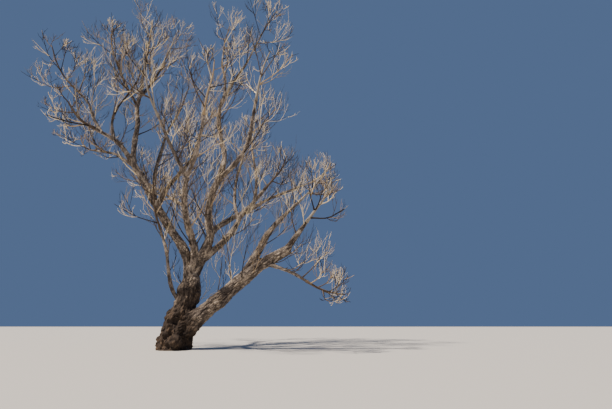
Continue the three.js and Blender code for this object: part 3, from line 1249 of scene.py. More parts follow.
@dataclass
class Room:
    """What the twigs of one mass, or the shoots on one bough, keep clear of.

    unevenness is the share of the reach that a finer twig may fall short by, for a ragged outline.
    Each leg of a twig is tried at as many points as tries says. Of a stem's, the first few, which
    rooted counts, are left out.
    """

    starts: np.ndarray
    runs: np.ndarray
    girths: np.ndarray
    own: np.ndarray
    low: np.ndarray
    high: np.ndarray
    centre: np.ndarray | None = None
    reach: float = 0.0
    unevenness: float = 0.27
    uneven_seed: int = 5
    tries: int = 4
    rooted: int = 3
    other_centres: np.ndarray | None = None
    other_reaches: np.ndarray | None = None

    def fits(self, points: np.ndarray, twig: Twig, lowest: float, gaps: tuple[float, float]) -> bool:
        """Tells whether a twig keeps to its space and off the limbs.

        Args:
            points: the twig's bends, one row each.
            twig: the twig.
            lowest: the least height of any point.
            gaps: the least room to a neighbouring mass, and to a limb.

        Returns:
            True if all of it does.
        """
        steps = np.arange(1, self.tries + 1) / self.tries
        legs = points[:-1, None] + (points[1:] - points[:-1])[:, None] * steps[None, :, None]
        samples = legs.reshape(-1, 3)
        if twig.order == 0:
            samples = samples[self.rooted :]
        if samples[:, 2].min() < lowest:
            return False
        if not twig.kept and (np.any(samples < self.low) or np.any(samples > self.high)):
            return False
        if self.centre is not None:
            chance = Chances(twig.seed + self.uneven_seed)
            short = 0.0 if twig.kept else self.unevenness * chance.draw()
            if not self.in_space(samples, self.reach * (1 - short), gaps[0]):
                return False
        return self.off_limbs(samples, twig, gaps[1])

    def in_space(self, samples: np.ndarray, reach: float, gap: float) -> bool:
        """Tells whether points are near the ball's middle, and in no other mass's space.

        Args:
            samples: the points, one row each.
            reach: how far from the middle they may be.
            gap: the least room to the plane between two masses' spaces.

        Returns:
            True if all of them are.
        """
        away = np.sum((samples - self.centre) ** 2, axis=1)
        if away.max() > reach**2:
            return False
        inside = away - self.reach**2
        to_others = samples[:, None] - self.other_centres[None]
        others = np.sum(to_others**2, axis=2) - self.other_reaches[None] ** 2
        apart = 2 * np.linalg.norm(self.other_centres - self.centre, axis=1)
        return bool(np.min((others - inside[:, None]) / apart) > gap)

    def off_limbs(self, samples: np.ndarray, twig: Twig, gap: float) -> bool:
        """Tells whether points are clear of every limb that the twig isn't rooted in.

        Args:
            samples: the points, one row each.
            twig: the twig that they lie on.
            gap: the least room between its bark and a limb's.

        Returns:
            True if all of them are.
        """
        rooted_here = twig.order == 0 or self.centre is None
        keep = ~self.own if rooted_here else np.ones(len(self.own), bool)
        starts, runs, girths = self.starts[keep], self.runs[keep], self.girths[keep]
        away = samples[:, None] - starts[None]
        share = np.sum(away * runs[None], axis=2) / np.sum(runs * runs, axis=1)[None]
        nearest = away - np.clip(share, 0, 1)[:, :, None] * runs[None]
        gaps = np.linalg.norm(nearest, axis=2) - girths[None] - twig.radius - gap
        return bool(gaps.min(initial=FAR) > 0)


@dataclass(frozen=True)
class TwigShape:
    """How a twig is drawn: rings along its rounded way, wider at the foot, with a blunt tip.

    The collar at the foot adds a share of the radius and fades over a share of the length. The last
    ring is drawn in to a share of its radius, and the tip stands past it by a share of the foot's
    radius. Each ring's first corner lies square to awry, a direction that no twig runs along.
    """

    collar: tuple[float, float] = (0.4, 0.09)
    blunt: float = 0.72
    tip: float = 0.4
    awry: tuple[float, float, float] = (0.31, 0.17, 0.93)

    def rings_of(self, bends: np.ndarray, radii: np.ndarray, rule: TwigRule) -> np.ndarray:
        """Gives the corners of many twigs' rings, tip points and all.

        Args:
            bends: each twig's bends.
            radii: each twig's radius at its foot.
            rule: the rule of their order.

        Returns:
            The corners: for each twig ring after ring from the foot, and then the tip.
        """
        count, rings, sides = len(bends), rule.rings, rule.sides
        shares = np.linspace(0, 1, rings)
        middles, ways = self.smooth_ways(bends, shares)
        whole = bends[:, -1] - bends[:, 0]
        side = np.cross(whole, np.array(self.awry))
        sides_at = side[:, None] - np.sum(side[:, None] * ways, axis=2, keepdims=True) * ways
        sides_at /= np.linalg.norm(sides_at, axis=2, keepdims=True)
        fronts_at = np.cross(ways, sides_at)
        collar = 1 + self.collar[0] * np.exp(-((shares / self.collar[1]) ** 2))
        blunt = np.where(np.arange(rings) == rings - 1, self.blunt, 1.0)
        girth = (1 - (1 - rule.taper) * shares) * collar * blunt
        thick = radii[:, None] * girth[None]
        turns = np.arange(sides) / sides * math.tau
        out = (
            sides_at[:, :, None] * np.cos(turns)[None, None, :, None]
            + fronts_at[:, :, None] * np.sin(turns)[None, None, :, None]
        )
        rims = middles[:, :, None] + out * thick[:, :, None, None]
        tips = middles[:, -1] + ways[:, -1] * radii[:, None] * self.tip
        return np.concatenate([rims.reshape(count, -1, 3), tips[:, None]], axis=1).reshape(-1, 3)

    def smooth_ways(
        self, bends: np.ndarray, shares: np.ndarray
    ) -> tuple[np.ndarray, np.ndarray]:
        """Rounds many twigs' bends.

        Args:
            bends: each twig's bends.
            shares: where along each twig a place is wanted.

        Returns:
            The places and the directions there.
        """
        last = bends.shape[1] - 1
        before = 2 * bends[:, :1] - bends[:, 1:2]
        after = 2 * bends[:, -1:] - bends[:, -2:-1]
        knots = np.concatenate([before, bends, after], axis=1)
        leg = np.minimum((shares * last).astype(int), last - 1)
        t = (shares * last - leg)[None, :, None]
        a, b, c, d = (knots[:, leg + step] for step in range(4))
        pull_in, pull_out = (c - a) / 2, (d - b) / 2
        square = 3 * (c - b) - 2 * pull_in - pull_out
        cube = 2 * (b - c) + pull_in + pull_out
        places = b + pull_in * t + square * t**2 + cube * t**3
        ways = pull_in + 2 * square * t + 3 * cube * t**2
        return places, ways / np.linalg.norm(ways, axis=2, keepdims=True)

    def tube_faces(self, rule: TwigRule, count: int) -> tuple[np.ndarray, np.ndarray]:
        """Gives the faces of many twigs that have the same sides and rings.

        Args:
            rule: the rule of their order.
            count: how many twigs.

        Returns:
            The corners of all faces in a row, and the number of corners of each face.
        """
        sides, rings = rule.sides, rule.rings
        faces: list[list[int]] = [list(range(sides - 1, -1, -1))]
        for ring in range(rings - 1):
            for s in range(sides):
                low, nxt = ring * sides + s, ring * sides + (s + 1) % sides
                faces.append([low, nxt, nxt + sides, low + sides])
        tip = rings * sides
        for s in range(sides):
            faces.append([tip - sides + s, tip - sides + (s + 1) % sides, tip])
        one = np.array([corner for face in faces for corner in face])
        sizes = np.array([len(face) for face in faces])
        shift = np.arange(count)[:, None] * (tip + 1)
        return (one[None] + shift).ravel(), np.tile(sizes, count)


@dataclass(frozen=True)
class ShootRule:
    """How a kind of shoot starts: of which order, how long from least to most, and how thick.

    The radius is the least one, and how much chance adds to it.
    """

    order: int
    length: tuple[float, float]
    radius: tuple[float, float]


@dataclass
class Crown:
    """The twigs: the masses at the boughs' tips, and the shoots that stand on the boughs.

    The first three orders repeat the solids' twigs, drawn slimmer by the shares in slimness. Finer
    twigs grow between those and on from them. A length or rise that is a pair is the least value,
    and how much chance adds to it.
    """

    # What seeds are worked out with. A twig's chances come from its seed, and its finer twigs' from
    # one further on.
    SEED_FACTOR = 31
    SEED_LIMIT = 1000003
    STEM_SEED = 101
    FINER_SEED = 500
    FINER_CHANCES = 77777
    SHOOT_SEED = (7000, 211, 17)
    SHOOT_CHANCES = (90001, 131)
    TINT_CHANCES = (3, 7)

    skeleton: Skeleton
    groups: dict[str, tuple[str, ...]]
    rules: tuple[TwigRule, ...] = (
        TwigRule(bends=3, kept=6, finer=3, first=0.12, spread=58, ratio=0.72, finer_ratio=0.66,
                 lift=0.34, sides=8, rings=13, taper=0.5),
        TwigRule(bends=2, kept=2, finer=4, first=0.5, spread=46, ratio=0.58, finer_ratio=0.66,
                 lift=0.45, sides=6, rings=8, taper=0.55),
        TwigRule(bends=2, kept=0, finer=3, first=0.2, spread=40, ratio=0.0, finer_ratio=1.1,
                 lift=0.6, sides=5, rings=6, taper=0.6),
        TwigRule(bends=2, kept=0, finer=2, first=0.25, spread=32, ratio=0.0, finer_ratio=1.0,
                 lift=0.6, sides=3, rings=5, taper=0.6),
        TwigRule(bends=2, kept=0, finer=1, first=0.3, spread=30, ratio=0.0, finer_ratio=0.8,
                 lift=0.6, sides=3, rings=4, taper=0.6),
        TwigRule(bends=2, kept=0, finer=0, first=0.0, spread=0, ratio=0.0, finer_ratio=0.0,
                 lift=0.6, sides=3, rings=3, taper=0.6),
    )
    shape: TwigShape = TwigShape()
    lean_out: float = 0.6
    crook: float = 0.45
    lift: float = 0.34
    last_at: float = 0.96
    shortening: float = 0.3
    narrowing: float = 0.3
    length_chance: tuple[float, float] = (0.85, 0.3)
    golden_angle: float = 137.5
    thinning: float = 0.62
    taper: float = 0.45
    least_kept_radius: float = 0.008
    least_radii: tuple[float, ...] = (0.008, 0.008, 0.0054, 0.0044, 0.0036, 0.0028)
    slimness: tuple[float, ...] = (0.95, 0.82, 0.78, 0.95, 1.0, 1.0)
    finer_first: float = 0.8
    finer_last_at: float = 0.98
    finer_turn: float = 70.0
    finer_length_chance: tuple[float, float] = (0.7, 0.5)
    finer_crook: float = 0.3
    finer_rise: float = 0.15
    stem_start: float = 0.0003
    stem_length: float = 1.35
    stem_girth: float = 0.95
    lowest: float = 0.35
    least_slant: float = 0.05
    least_side: float = 1e-6
    limb_legs: int = 8
    limb_margin: float = 0.5
    gaps: tuple[float, float] = (0.014, 0.012)
    proud: float = 0.05
    cut_backs: tuple[float, ...] = (1.0, 0.7, 0.45)
    shoot: ShootRule = ShootRule(2, (0.3, 0.6), (0.009, 0.005))
    branchlet: ShootRule = ShootRule(1, (0.65, 1.15), (0.013, 0.005))
    branchlet_every: int = 2
    shoot_pitch: float = 0.23
    trunk_shoot_pitch: float = 0.115
    shoots_from: float = 0.3
    trunk_shoots_from: float = 0.6
    shoots_to: float = 0.98
    shoot_lean: float = 0.5
    shoot_rise: tuple[float, float] = (0.55, 0.6)
    shoot_depth: float = 0.7
    shoot_length_power: float = 1.5
    # The share of each tint for the first three orders: many sprays get the dark tint as painted
    # shade, and some get the bleached one as a painted highlight.
    tint_shares: tuple[tuple[float, ...], ...] = (
        (0.0, 0.12, 0.3, 0.58, 0.0),
        (0.06, 0.14, 0.1, 0.33, 0.37),
        (0.26, 0.16, 0.13, 0.18, 0.27),
    )
    masses: list[Mass] = field(default_factory=list)
    leg_starts: np.ndarray = field(init=False)
    leg_runs: np.ndarray = field(init=False)
    leg_girths: np.ndarray = field(init=False)
    leg_names: np.ndarray = field(init=False)

    def __post_init__(self) -> None:
        """Lays out the masses and the straight legs that stand in for the limbs."""
        limbs = list(self.skeleton.limbs.values())
        for limb in (limb for limb in limbs if limb.twigs):
            tip, heading = limb.way.point(1), limb.way.tangent(1)
            outward = (heading + UP * self.lift).normalized()
            centre = tip + outward * self.lean_out * limb.twigs
            self.masses.append(
                Mass(limb, len(self.masses), *map(np.array, (tip, heading, centre)), limb.twigs)
            )
        count = self.limb_legs
        legs = [
            (
                limb.way.point(i / count),
                limb.way.point((i + 1) / count),
                limb.radius(i / count),
                limb.name,
            )
            for limb in limbs
            for i in range(count)
        ]
        self.leg_starts = np.array([leg[0] for leg in legs])
        self.leg_runs = np.array([leg[1] - leg[0] for leg in legs])
        self.leg_girths = np.array([leg[2] for leg in legs])
        self.leg_names = np.array([leg[3] for leg in legs])

    def room_of(self, name: str, low: np.ndarray, high: np.ndarray, mass: Mass | None) -> Room:
        """Gathers what twigs keep clear of.

        Args:
            name: the limb that they are rooted in.
            low: the lowest corner that finer twigs reach.
            high: the highest corner that finer twigs reach.
            mass: their mass, or None for shoots.

        Returns:
            The room, with only the limbs that pass near.
        """
        own = self.leg_names == name
        ends = self.leg_starts + self.leg_runs
        near = np.all(np.maximum(self.leg_starts, ends) > low - self.limb_margin, axis=1)
        near &= np.all(np.minimum(self.leg_starts, ends) < high + self.limb_margin, axis=1)
        room = Room(
            self.leg_starts[near], self.leg_runs[near], self.leg_girths[near], own[near], low, high
        )
        if mass is not None:
            others = [other for other in self.masses if other is not mass]
            room.centre, room.reach = mass.centre, mass.reach
            room.other_centres = np.array([other.centre for other in others])
            room.other_reaches = np.array([other.reach for other in others])
        return room

    def way_of(self, twig: Twig, jogs: np.ndarray, length: float) -> np.ndarray:
        """Gives the places of a twig's bends.

        Args:
            twig: the twig.
            jogs: which way it turns at each bend.
            length: its length.

        Returns:
            One row a place, from foot to tip.
        """
        lift = self.lift if twig.kept else self.rules[twig.order].lift
        crook = self.crook if twig.kept else self.finer_crook
        points = [twig.foot]
        along = twig.heading
        for jog in jogs:
            points.append(points[-1] + along * length / len(jogs))
            along = along + jog * crook + np.array(UP) * lift
            along = along / np.linalg.norm(along)
        return np.array(points)

    def grow(self, twig: Twig, room: Room, grown: list[tuple[Twig, np.ndarray]]) -> None:
        """Grows a twig and what branches from it.

        Args:
            twig: the twig.
            room: what it keeps clear of.
            grown: the list that each grown twig is added to, with its bends.
        """
        rule = self.rules[twig.order]
        chance = Chances(twig.seed)
        jogs = np.array([[chance.draw() - 0.5 for _ in range(3)] for _ in range(rule.bends)])
        turn = chance.draw() * 360
        for cut in self.cut_backs:
            points = self.way_of(twig, jogs, twig.length * cut)
            if room.fits(points, twig, self.lowest, self.gaps):
                break
        else:
            return
        grown.append((twig, points))
        if twig.kept:
            for child in range(rule.kept):
                share = rule.first + (self.last_at - rule.first) * child / max(rule.kept - 1, 1)
                length = twig.length * rule.ratio * (1 - self.shortening * share)
                length *= chance.above(*self.length_chance)
                turned = turn + child * self.golden_angle
                seed = twig.seed * self.SEED_FACTOR + child + 1
                carried = self.branch(twig, points, share, turned, length, seed, kept=True)
                self.grow(carried, room, grown)
        chance = Chances(twig.seed + self.FINER_CHANCES)
        first = rule.first * self.finer_first
        for child in range(rule.finer):
            share = first + (self.finer_last_at - first) * (child + chance.draw()) / rule.finer
            length = twig.length * cut * rule.finer_ratio * (1 - self.shortening * share)
            length *= chance.above(*self.finer_length_chance)
            turned = turn + self.finer_turn + child * self.golden_angle
            seed = twig.seed * self.SEED_FACTOR + self.FINER_SEED + child
            carried = self.branch(twig, points, share, turned, length, seed, kept=False)
            self.grow(carried, room, grown)

    def branch(
        self,
        twig: Twig,
        points: np.ndarray,
        share: float,
        turn: float,
        length: float,
        seed: int,
        kept: bool,
    ) -> Twig:
        """Readies a twig that branches from another.

        Args:
            twig: the twig that carries it.
            points: that twig's bends.
            share: how far along it the new one stands.
            turn: the angle round it, in degrees.
            length: the new twig's length.
            seed: what its own chances start from.
            kept: whether the solids have it.

        Returns:
            The new twig, one order finer than the one that carries it.
        """
        rule = self.rules[twig.order]
        leg = min(int(share * rule.bends), rule.bends - 1)
        along = points[leg + 1] - points[leg]
        along = along / np.linalg.norm(along)
        side = np.cross(along, np.array(UP))
        size = np.linalg.norm(side)
        side = side / size if size >= self.least_slant else np.array([1.0, 0.0, 0.0])
        front = np.cross(side, along)
        front = front / np.linalg.norm(front)
        outward = side * math.cos(math.radians(turn)) + front * math.sin(math.radians(turn))
        spread = math.radians(rule.spread * (1 - self.narrowing * share))
        foot = points[leg] + (points[leg + 1] - points[leg]) * (share * rule.bends - leg)
        heading = along * math.cos(spread) + outward * math.sin(spread)
        radius = twig.radius * (1 - (1 - self.taper) * share) * self.thinning
        order = twig.order + 1
        least = self.least_kept_radius if kept else self.least_radii[order]
        way = heading + np.array(UP) * (0.0 if kept else self.finer_rise)
        way = way / np.linalg.norm(way)
        return Twig(foot, way, length, max(radius, least), order, seed % self.SEED_LIMIT, kept)

    def grow_mass(self, mass: Mass) -> list[tuple[Twig, np.ndarray]]:
        """Grows all twigs of a mass from its one stem.

        Args:
            mass: the mass.

        Returns:
            Each twig with its bends.
        """
        low, high = (np.array(corner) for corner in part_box(mass.node))
        room = self.room_of(mass.limb.name, low - self.proud, high + self.proud, mass)
        stem = Twig(
            foot=mass.tip + mass.heading * self.stem_start,
            heading=mass.heading,
            length=mass.reach * self.stem_length,
            radius=mass.limb.radius(1) * self.stem_girth,
            order=0,
            seed=self.STEM_SEED + mass.index,
        )
        grown: list[tuple[Twig, np.ndarray]] = []
        self.grow(stem, room, grown)
        return grown

    def grow_shoots(
        self, limb: GrownLimb, index: int, low: np.ndarray, high: np.ndarray
    ) -> list[tuple[Twig, np.ndarray]]:
        """Grows the shoots that stand along a bough, most of them on its upper side.

        Args:
            limb: the bough.
            index: its number, which seeds the shoots.
            low: the crown's lowest corner.
            high: the crown's highest corner.

        Returns:
            Each twig with its bends.
        """
        room = self.room_of(limb.name, low, high, None)
        grown: list[tuple[Twig, np.ndarray]] = []
        on_trunk = limb.name == "trunk"
        first = self.trunk_shoots_from if on_trunk else self.shoots_from
        pitch = self.trunk_shoot_pitch if on_trunk else self.shoot_pitch
        shoots = int(limb.length * (1 - first) / pitch)
        for shoot in range(shoots):
            start, factor = self.SHOOT_CHANCES
            chance = Chances(start + index * factor + shoot)
            share = first + (self.shoots_to - first) * (shoot + chance.draw()) / shoots
            along = np.array(limb.way.tangent(share))
            turn = chance.draw() * math.tau
            side = np.cross(along, np.array(UP))
            side = side / max(np.linalg.norm(side), self.least_side)
            out = side * math.cos(turn) + np.cross(side, along) * math.sin(turn)
            heading = out + along * self.shoot_lean + np.array(UP) * chance.above(*self.shoot_rise)
            branchlet = shoot % self.branchlet_every == 0 and not on_trunk
            rule = self.branchlet if branchlet else self.shoot
            short, long = rule.length
            start, factor, step = self.SHOOT_SEED
            twig = Twig(
                foot=np.array(limb.way.point(share)) + out * limb.radius(share) * self.shoot_depth,
                heading=heading / np.linalg.norm(heading),
                length=short + (long - short) * chance.draw() ** self.shoot_length_power,
                radius=chance.above(*rule.radius),
                order=rule.order,
                seed=(start + index * factor + shoot * step) % self.SEED_LIMIT,
                kept=False,
            )
            self.grow(twig, room, grown)
        return grown

    def build(self, finishes: Sequence[bpy.types.Material]) -> list[bpy.types.Object]:
        """Grows the crown and joins its twigs into one mesh a group.

        Args:
            finishes: one material for each tint.

        Returns:
            The pieces.
        """
        corners = [[np.array(corner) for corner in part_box(mass.node)] for mass in self.masses]
        low = np.min([corner[0] for corner in corners], axis=0)
        high = np.max([corner[1] for corner in corners], axis=0)
        names = list(self.skeleton.limbs)
        pieces = []
        grown: list[tuple[Twig, np.ndarray]] = []
        for group, members in self.groups.items():
            nodes = []
            for mass in self.masses:
                if mass.limb.name in members:
                    grown += self.grow_mass(mass)
                    nodes.append(mass.node)
            for name in members:
                grown += self.grow_shoots(self.skeleton.limbs[name], names.index(name), low, high)
            # The trunk has no mass of its own, so its shoots go with the next group's twigs.
            if not nodes:
                continue
            piece = self.mesh_of(group.replace("bark", "twigs"), grown, finishes)
            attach(piece, BODY)
            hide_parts(*nodes)
            piece.data.calc_loop_triangles()
            triangles = len(piece.data.loop_triangles)
            LOG.info("%s: %d twigs, %d triangles", piece.name, len(grown), triangles)
            pieces.append(piece)
            grown = []
        return pieces

    def mesh_of(
        self,
        name: str,
        grown: list[tuple[Twig, np.ndarray]],
        finishes: Sequence[bpy.types.Material],
    ) -> bpy.types.Object:
        """Draws twigs as one joined mesh from arrays.

        Args:
            name: the piece's name.
            grown: each twig with its bends.
            finishes: one material for each tint.

        Returns:
            The piece.
        """
        corners: list[np.ndarray] = []
        loops: list[np.ndarray] = []
        sizes: list[np.ndarray] = []
        tints: list[np.ndarray] = []
        count = 0
        tint_of = self.spray_tints(grown)
        for order, rule in enumerate(self.rules):
            chosen = [i for i, (twig, _) in enumerate(grown) if twig.order == order]
            if not chosen:
                continue
            bends = np.array([grown[i][1] for i in chosen])
            radii = np.array([grown[i][0].radius for i in chosen]) * self.slimness[order]
            rings = self.shape.rings_of(bends, radii, rule)
            faces, face_sizes = self.shape.tube_faces(rule, len(chosen))
            corners.append(rings)
            loops.append(faces + count)
            sizes.append(face_sizes)
            each = len(face_sizes) // len(chosen)
            tints.append(np.repeat(tint_of[chosen], each))
            count += len(rings)
        mesh = bpy.data.meshes.new(name)
        all_corners, all_loops = np.concatenate(corners), np.concatenate(loops)
        all_sizes = np.concatenate(sizes)
        mesh.vertices.add(count)
        mesh.vertices.foreach_set("co", all_corners.ravel())
        mesh.loops.add(len(all_loops))
        mesh.loops.foreach_set("vertex_index", all_loops)
        mesh.polygons.add(len(all_sizes))
        mesh.polygons.foreach_set("loop_start", np.cumsum(all_sizes) - all_sizes)
        for finish in finishes:
            mesh.materials.append(finish)
        mesh.polygons.foreach_set("material_index", np.concatenate(tints))
        mesh.polygons.foreach_set("use_smooth", np.ones(len(all_sizes), bool))
        mesh.update(calc_edges=True)
        mesh.validate()
        piece = bpy.data.objects.new(name, mesh)
        bpy.context.collection.objects.link(piece)
        return piece

    def spray_tints(self, grown: list[tuple[Twig, np.ndarray]]) -> np.ndarray:
        """Deals the tints out.

        Each twig of the first three orders gets its own. A finer one keeps the tint of the twig that
        carries it.

        Args:
            grown: the twigs, each after the one that carries it.

        Returns:
            The number of each twig's tint.
        """
        tints = np.zeros(len(grown), int)
        tint = 0
        start, factor = self.TINT_CHANCES
        for number, (twig, _) in enumerate(grown):
            if twig.order < len(self.tint_shares):
                limits = np.cumsum(self.tint_shares[twig.order])
                draw = Chances(twig.seed * factor + start).draw()
                tint = min(int(np.searchsorted(limits, draw)), len(limits) - 1)
            tints[number] = tint
        return tints


def add_node(
    tree: bpy.types.NodeTree,
    kind: str,
    settings: dict[str, object] | None = None,
    values: dict[str | int, object] | None = None,
    links: dict[str | int, bpy.types.NodeSocket] | None = None,
) -> bpy.types.Node:
    """Adds a node.

    Args:
        tree: the tree that it goes in.
        kind: the node's type.
        settings: its properties.
        values: its inputs' values, by name or number.
        links: the sockets that its inputs take, by name or number.

    Returns:
        The node.
    """
    node = tree.nodes.new(kind)
    for name, value in (settings or {}).items():
        setattr(node, name, value)
    for name, value in (values or {}).items():
        node.inputs[name].default_value = value
    for name, socket in (links or {}).items():
        tree.links.new(socket, node.inputs[name])
    return node


@dataclass(frozen=True)
class BarkFinish:
    """Weathered bark of a dead hardwood: dry, flaking ridges with no gloss at all.

    It gives the eye mottled grey-tan ridges, painted shade in the furrows, cracks and flake edges,
    and darker bark low down that is partly older bark and partly painted shade. A pattern turns from
    its first colour or strength to its last between two strengths of its noise.
    """

    ridge: str = "#8c8075"
    pale: str = "#c1b09b"
    dull: str = "#524943"
    # Painted shade: the dark colour laid into furrows, cracks and the edges between flakes.
    furrow: str = "#2f2824"
    # Older bark and painted shade: multiplied in where the bark is stout and low.
    old_and_shaded: str = "#82766b"
    roughness: float = 0.93
    specular: float = 0.25
    mottle_mm: float = 105.0
    flake_mm: float = 34.0
    fibre_mm: float = 9.0
    noise_roughness: float = 0.65
    flake_distortion: float = 0.8
    squash_along: float = 0.35
    tone_turns: tuple[float, float, float] = (0.38, 0.5, 0.64)
    # The flake edges get painted shade as well as a sunk bump.
    edge_turns: tuple[float, float] = (0.38, 0.46)
    edge_depth: float = 0.75
    speckle_turns: tuple[float, float] = (0.4, 0.62)
    speckle: tuple[float, float] = (0.62, 1.28)
    bump: float = 0.8
    bump_mm: float = 8.0

    def material(self) -> bpy.types.Material:
        """Makes the material, which reads the skin's grain, and the furrow and age attributes that
        carry painted shade.

        Returns:
            The material.
        """
        material = bpy.data.materials.new("weathered_bark")
        material.use_nodes = True
        tree = material.node_tree
        shader = tree.nodes["Principled BSDF"]
        shader.inputs["Roughness"].default_value = self.roughness
        shader.inputs["Specular IOR Level"].default_value = self.specular
        grain, furrow, age = (
            add_node(tree, "ShaderNodeAttribute", {"attribute_name": name})
            for name in ("grain", "furrow", "age")
        )
        along = add_node(
            tree,
            "ShaderNodeMapping",
            values={"Scale": (1.0, 1.0, self.squash_along)},
            links={"Vector": grain.outputs["Vector"]},
        )
        # Real fibres are finer than a pixel of the render, so they are drawn as coarse as they show.
        mottle, flakes, fibres = (
            add_node(
                tree,
                "ShaderNodeTexNoise",
                values={"Scale": 1000 / size_mm, **values},
                links={"Vector": along.outputs["Vector"]},
            )
            for size_mm, values in (
                (self.mottle_mm, {"Detail": 4.0, "Roughness": self.noise_roughness}),
                (self.flake_mm, {"Detail": 4.0, "Distortion": self.flake_distortion}),
                (self.fibre_mm, {"Detail": 3.0, "Roughness": self.noise_roughness}),
            )
        )
        tone = add_node(tree, "ShaderNodeValToRGB", links={"Fac": mottle.outputs["Fac"]})
        dull_to, ridge_at, pale_from = self.tone_turns
        stops = tone.color_ramp.elements
        stops[0].position, stops[0].color = dull_to, linear_colour(self.dull)
        stops[1].position, stops[1].color = pale_from, linear_colour(self.pale)
        stops.new(ridge_at).color = linear_colour(self.ridge)
        # Painted shade and older bark darken the stout wood low down.
        aged_and_shaded = add_node(
            tree,
            "ShaderNodeMix",
            {"data_type": "RGBA", "blend_type": "MULTIPLY"},
            {MIX_SECOND: linear_colour(self.old_and_shaded)},
            {MIX_FACTOR: age.outputs["Fac"], MIX_FIRST: tone.outputs["Color"]},
        )
        edges, speckle = (
            add_node(
                tree,
                "ShaderNodeMapRange",
                values={"From Min": low, "From Max": high, "To Min": first, "To Max": last},
                links={"Value": noise.outputs["Fac"]},
            )
            for noise, (low, high), (first, last) in (
                (flakes, self.edge_turns, (self.edge_depth, 0.0)),
                (fibres, self.speckle_turns, self.speckle),
            )
        )
        # Painted shade: furrows, cracks and the edges between flakes turn dark, and the same depth
        # sinks the bump.
        depth = add_node(
            tree,
            "ShaderNodeMath",
            {"operation": "MAXIMUM"},
            links={0: edges.outputs["Result"], 1: furrow.outputs["Fac"]},
        )
        shaded = add_node(
            tree,
            "ShaderNodeVectorMath",
            {"operation": "SCALE"},
            links={0: aged_and_shaded.outputs[MIX_COLOUR], "Scale": speckle.outputs["Result"]},
        )
        colour = add_node(
            tree,
            "ShaderNodeMix",
            {"data_type": "RGBA"},
            {MIX_SECOND: linear_colour(self.furrow)},
            {MIX_FACTOR: depth.outputs["Value"], MIX_FIRST: shaded.outputs["Vector"]},
        )
        relief = add_node(
            tree,
            "ShaderNodeMath",
            {"operation": "SUBTRACT"},
            links={0: fibres.outputs["Fac"], 1: depth.outputs["Value"]},
        )
        bump = add_node(
            tree,
            "ShaderNodeBump",
            values={"Strength": self.bump, "Distance": self.bump_mm / 1000},
            links={"Height": relief.outputs["Value"]},
        )
        tree.links.new(colour.outputs[MIX_COLOUR], shader.inputs["Base Color"])
        tree.links.new(bump.outputs["Normal"], shader.inputs["Normal"])
        return material


@dataclass(frozen=True)
class TwigFinish:
    """Dry dead twig wood with thin bark, in one plain colour: matt, with faint wrinkles.

    It gives the eye pale tan and silver-grey strokes, pale sprays that carry a painted highlight, and
    dark sprays that carry painted shade.
    """

    tint: Tint
    roughness: float = 0.88
    roughness_sway: float = 0.08
    specular: float = 0.3
    wrinkle_mm: float = 16.0
    bump: float = 0.5
    bump_mm: float = 2.0

    def material(self) -> bpy.types.Material:
        """Makes the material.

        Returns:
            The material, named for its tint.
        """
        material = bpy.data.materials.new(f"dry_twig_{self.tint.name.lower()}")
        material.use_nodes = True
        tree = material.node_tree
        shader = tree.nodes["Principled BSDF"]
        shader.inputs["Base Color"].default_value = linear_colour(self.tint.value)
        shader.inputs["Specular IOR Level"].default_value = self.specular
        place = add_node(tree, "ShaderNodeTexCoord")
        wrinkles = add_node(
            tree,
            "ShaderNodeTexNoise",
            values={"Scale": 1000 / self.wrinkle_mm, "Detail": 2.0},
            links={"Vector": place.outputs["Object"]},
        )
        rough = add_node(
            tree,
            "ShaderNodeMapRange",
            values={
                "To Min": self.roughness - self.roughness_sway,
                "To Max": self.roughness + self.roughness_sway,
            },
            links={"Value": wrinkles.outputs["Fac"]},
        )
        bump = add_node(
            tree,
            "ShaderNodeBump",
            values={"Strength": self.bump, "Distance": self.bump_mm / 1000},
            links={"Height": wrinkles.outputs["Fac"]},
        )
        tree.links.new(rough.outputs["Result"], shader.inputs["Roughness"])
        tree.links.new(bump.outputs["Normal"], shader.inputs["Normal"])
        return material


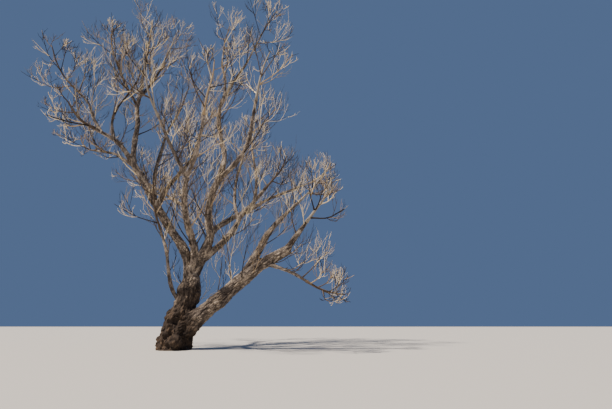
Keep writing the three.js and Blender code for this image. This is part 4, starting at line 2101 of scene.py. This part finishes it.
@dataclass
class Studio:
    """A plain pale floor, soft light from high on the left, and the camera that looks up the tree."""

    floor_size: float = 160.0
    floor_drop: float = 0.002
    floor_colour: str = "#bfbcb6"
    floor_roughness: float = 0.95
    sky_colour: str = "#7d9bcf"
    sky_strength: float = 0.44
    sun_strength: float = 7.8
    sun_spread: float = 3.0
    sun_colour: str = "#fff2e2"
    sun_bearing: float = -144.0
    sun_height: float = 54.0
    sun_place: tuple[float, float, float] = (6.0, -6.0, 12.0)
    camera_place: tuple[float, float, float] = (2.83, -7.5, 0.50)
    camera_pitch: float = 20.6
    lens_mm: float = 18.8
    sensor_mm: float = 36.0
    farthest: float = 400.0

    def build(self) -> None:
        """Makes the floor, the light and the camera."""
        bpy.ops.object.select_all(action="DESELECT")
        bpy.ops.mesh.primitive_plane_add(size=self.floor_size, location=-UP * self.floor_drop)
        floor = bpy.context.object
        floor.name = "studio_floor"
        place_applied(floor)
        paint = bpy.data.materials.new("matt_studio_paint")
        paint.use_nodes = True
        shader = paint.node_tree.nodes["Principled BSDF"]
        shader.inputs["Base Color"].default_value = linear_colour(self.floor_colour)
        shader.inputs["Roughness"].default_value = self.floor_roughness
        floor.data.materials.append(paint)
        world = bpy.data.worlds.new("studio_air")
        world.use_nodes = True
        air = world.node_tree.nodes["Background"]
        air.inputs["Color"].default_value = linear_colour(self.sky_colour)
        air.inputs["Strength"].default_value = self.sky_strength
        bpy.context.scene.world = world
        bpy.ops.object.light_add(type="SUN", location=self.sun_place)
        sun = bpy.context.object
        sun.name = "soft_key"
        sun.data.energy = self.sun_strength
        sun.data.angle = math.radians(self.sun_spread)
        sun.data.color = linear_colour(self.sun_colour)[:3]
        beam = -heading_of(self.sun_bearing, self.sun_height)
        sun.rotation_euler = beam.to_track_quat("-Z", "Y").to_euler()
        bpy.ops.object.camera_add(
            location=self.camera_place, rotation=(math.radians(90 + self.camera_pitch), 0, 0)
        )
        camera = bpy.context.object
        camera.name = "photo_view"
        camera.data.sensor_width = self.sensor_mm
        camera.data.lens = self.lens_mm
        camera.data.clip_end = self.farthest
        bpy.context.scene.camera = camera


# Which limbs are joined into one piece of bark, and their twigs into one piece of twigs.
GROUPS: dict[str, tuple[str, ...]] = {
    "bark_trunk": ("trunk",),
    "bark_left": ("left_bough", "left_inner_bough", "middle_bough"),
    "bark_left_outer": (
        "left_outer_bough",
        "left_outer_rising_branch",
        "left_mid_branch",
        "left_low_bough",
    ),
    "bark_left_top": (
        "left_rising_bough",
        "left_top_near_branch",
        "left_top_branch",
        "left_top_far_branch",
    ),
    "bark_front": ("front_bough", "front_right_branch", "front_left_branch", "low_left_branch"),
    "bark_upright": (
        "upright_bough",
        "upright_right_bough",
        "upright_rising_bough",
        "upright_top_branch",
        "upright_top_right_branch",
    ),
    "bark_right": ("right_bough", "right_rising_bough"),
    "bark_low_right": (
        "low_right_bough",
        "low_right_tip_bough",
        "low_right_rising_bough",
        "low_right_hooked_bough",
    ),
    "bark_back_left": ("back_left_bough", "back_left_rising_bough", "back_left_outer_bough"),
    "bark_back_right": ("back_right_bough", "back_right_rising_bough", "back_right_outer_bough"),
}


def main() -> None:
    """Builds the tree and the studio."""
    logging.basicConfig(level=logging.INFO, format="%(message)s")
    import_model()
    skeleton = Skeleton()
    Wood(skeleton, GROUPS).build(BarkFinish().material())
    Crown(skeleton, GROUPS).build([TwigFinish(tint).material() for tint in Tint])
    Studio().build()


if __name__ == "__main__":
    main()
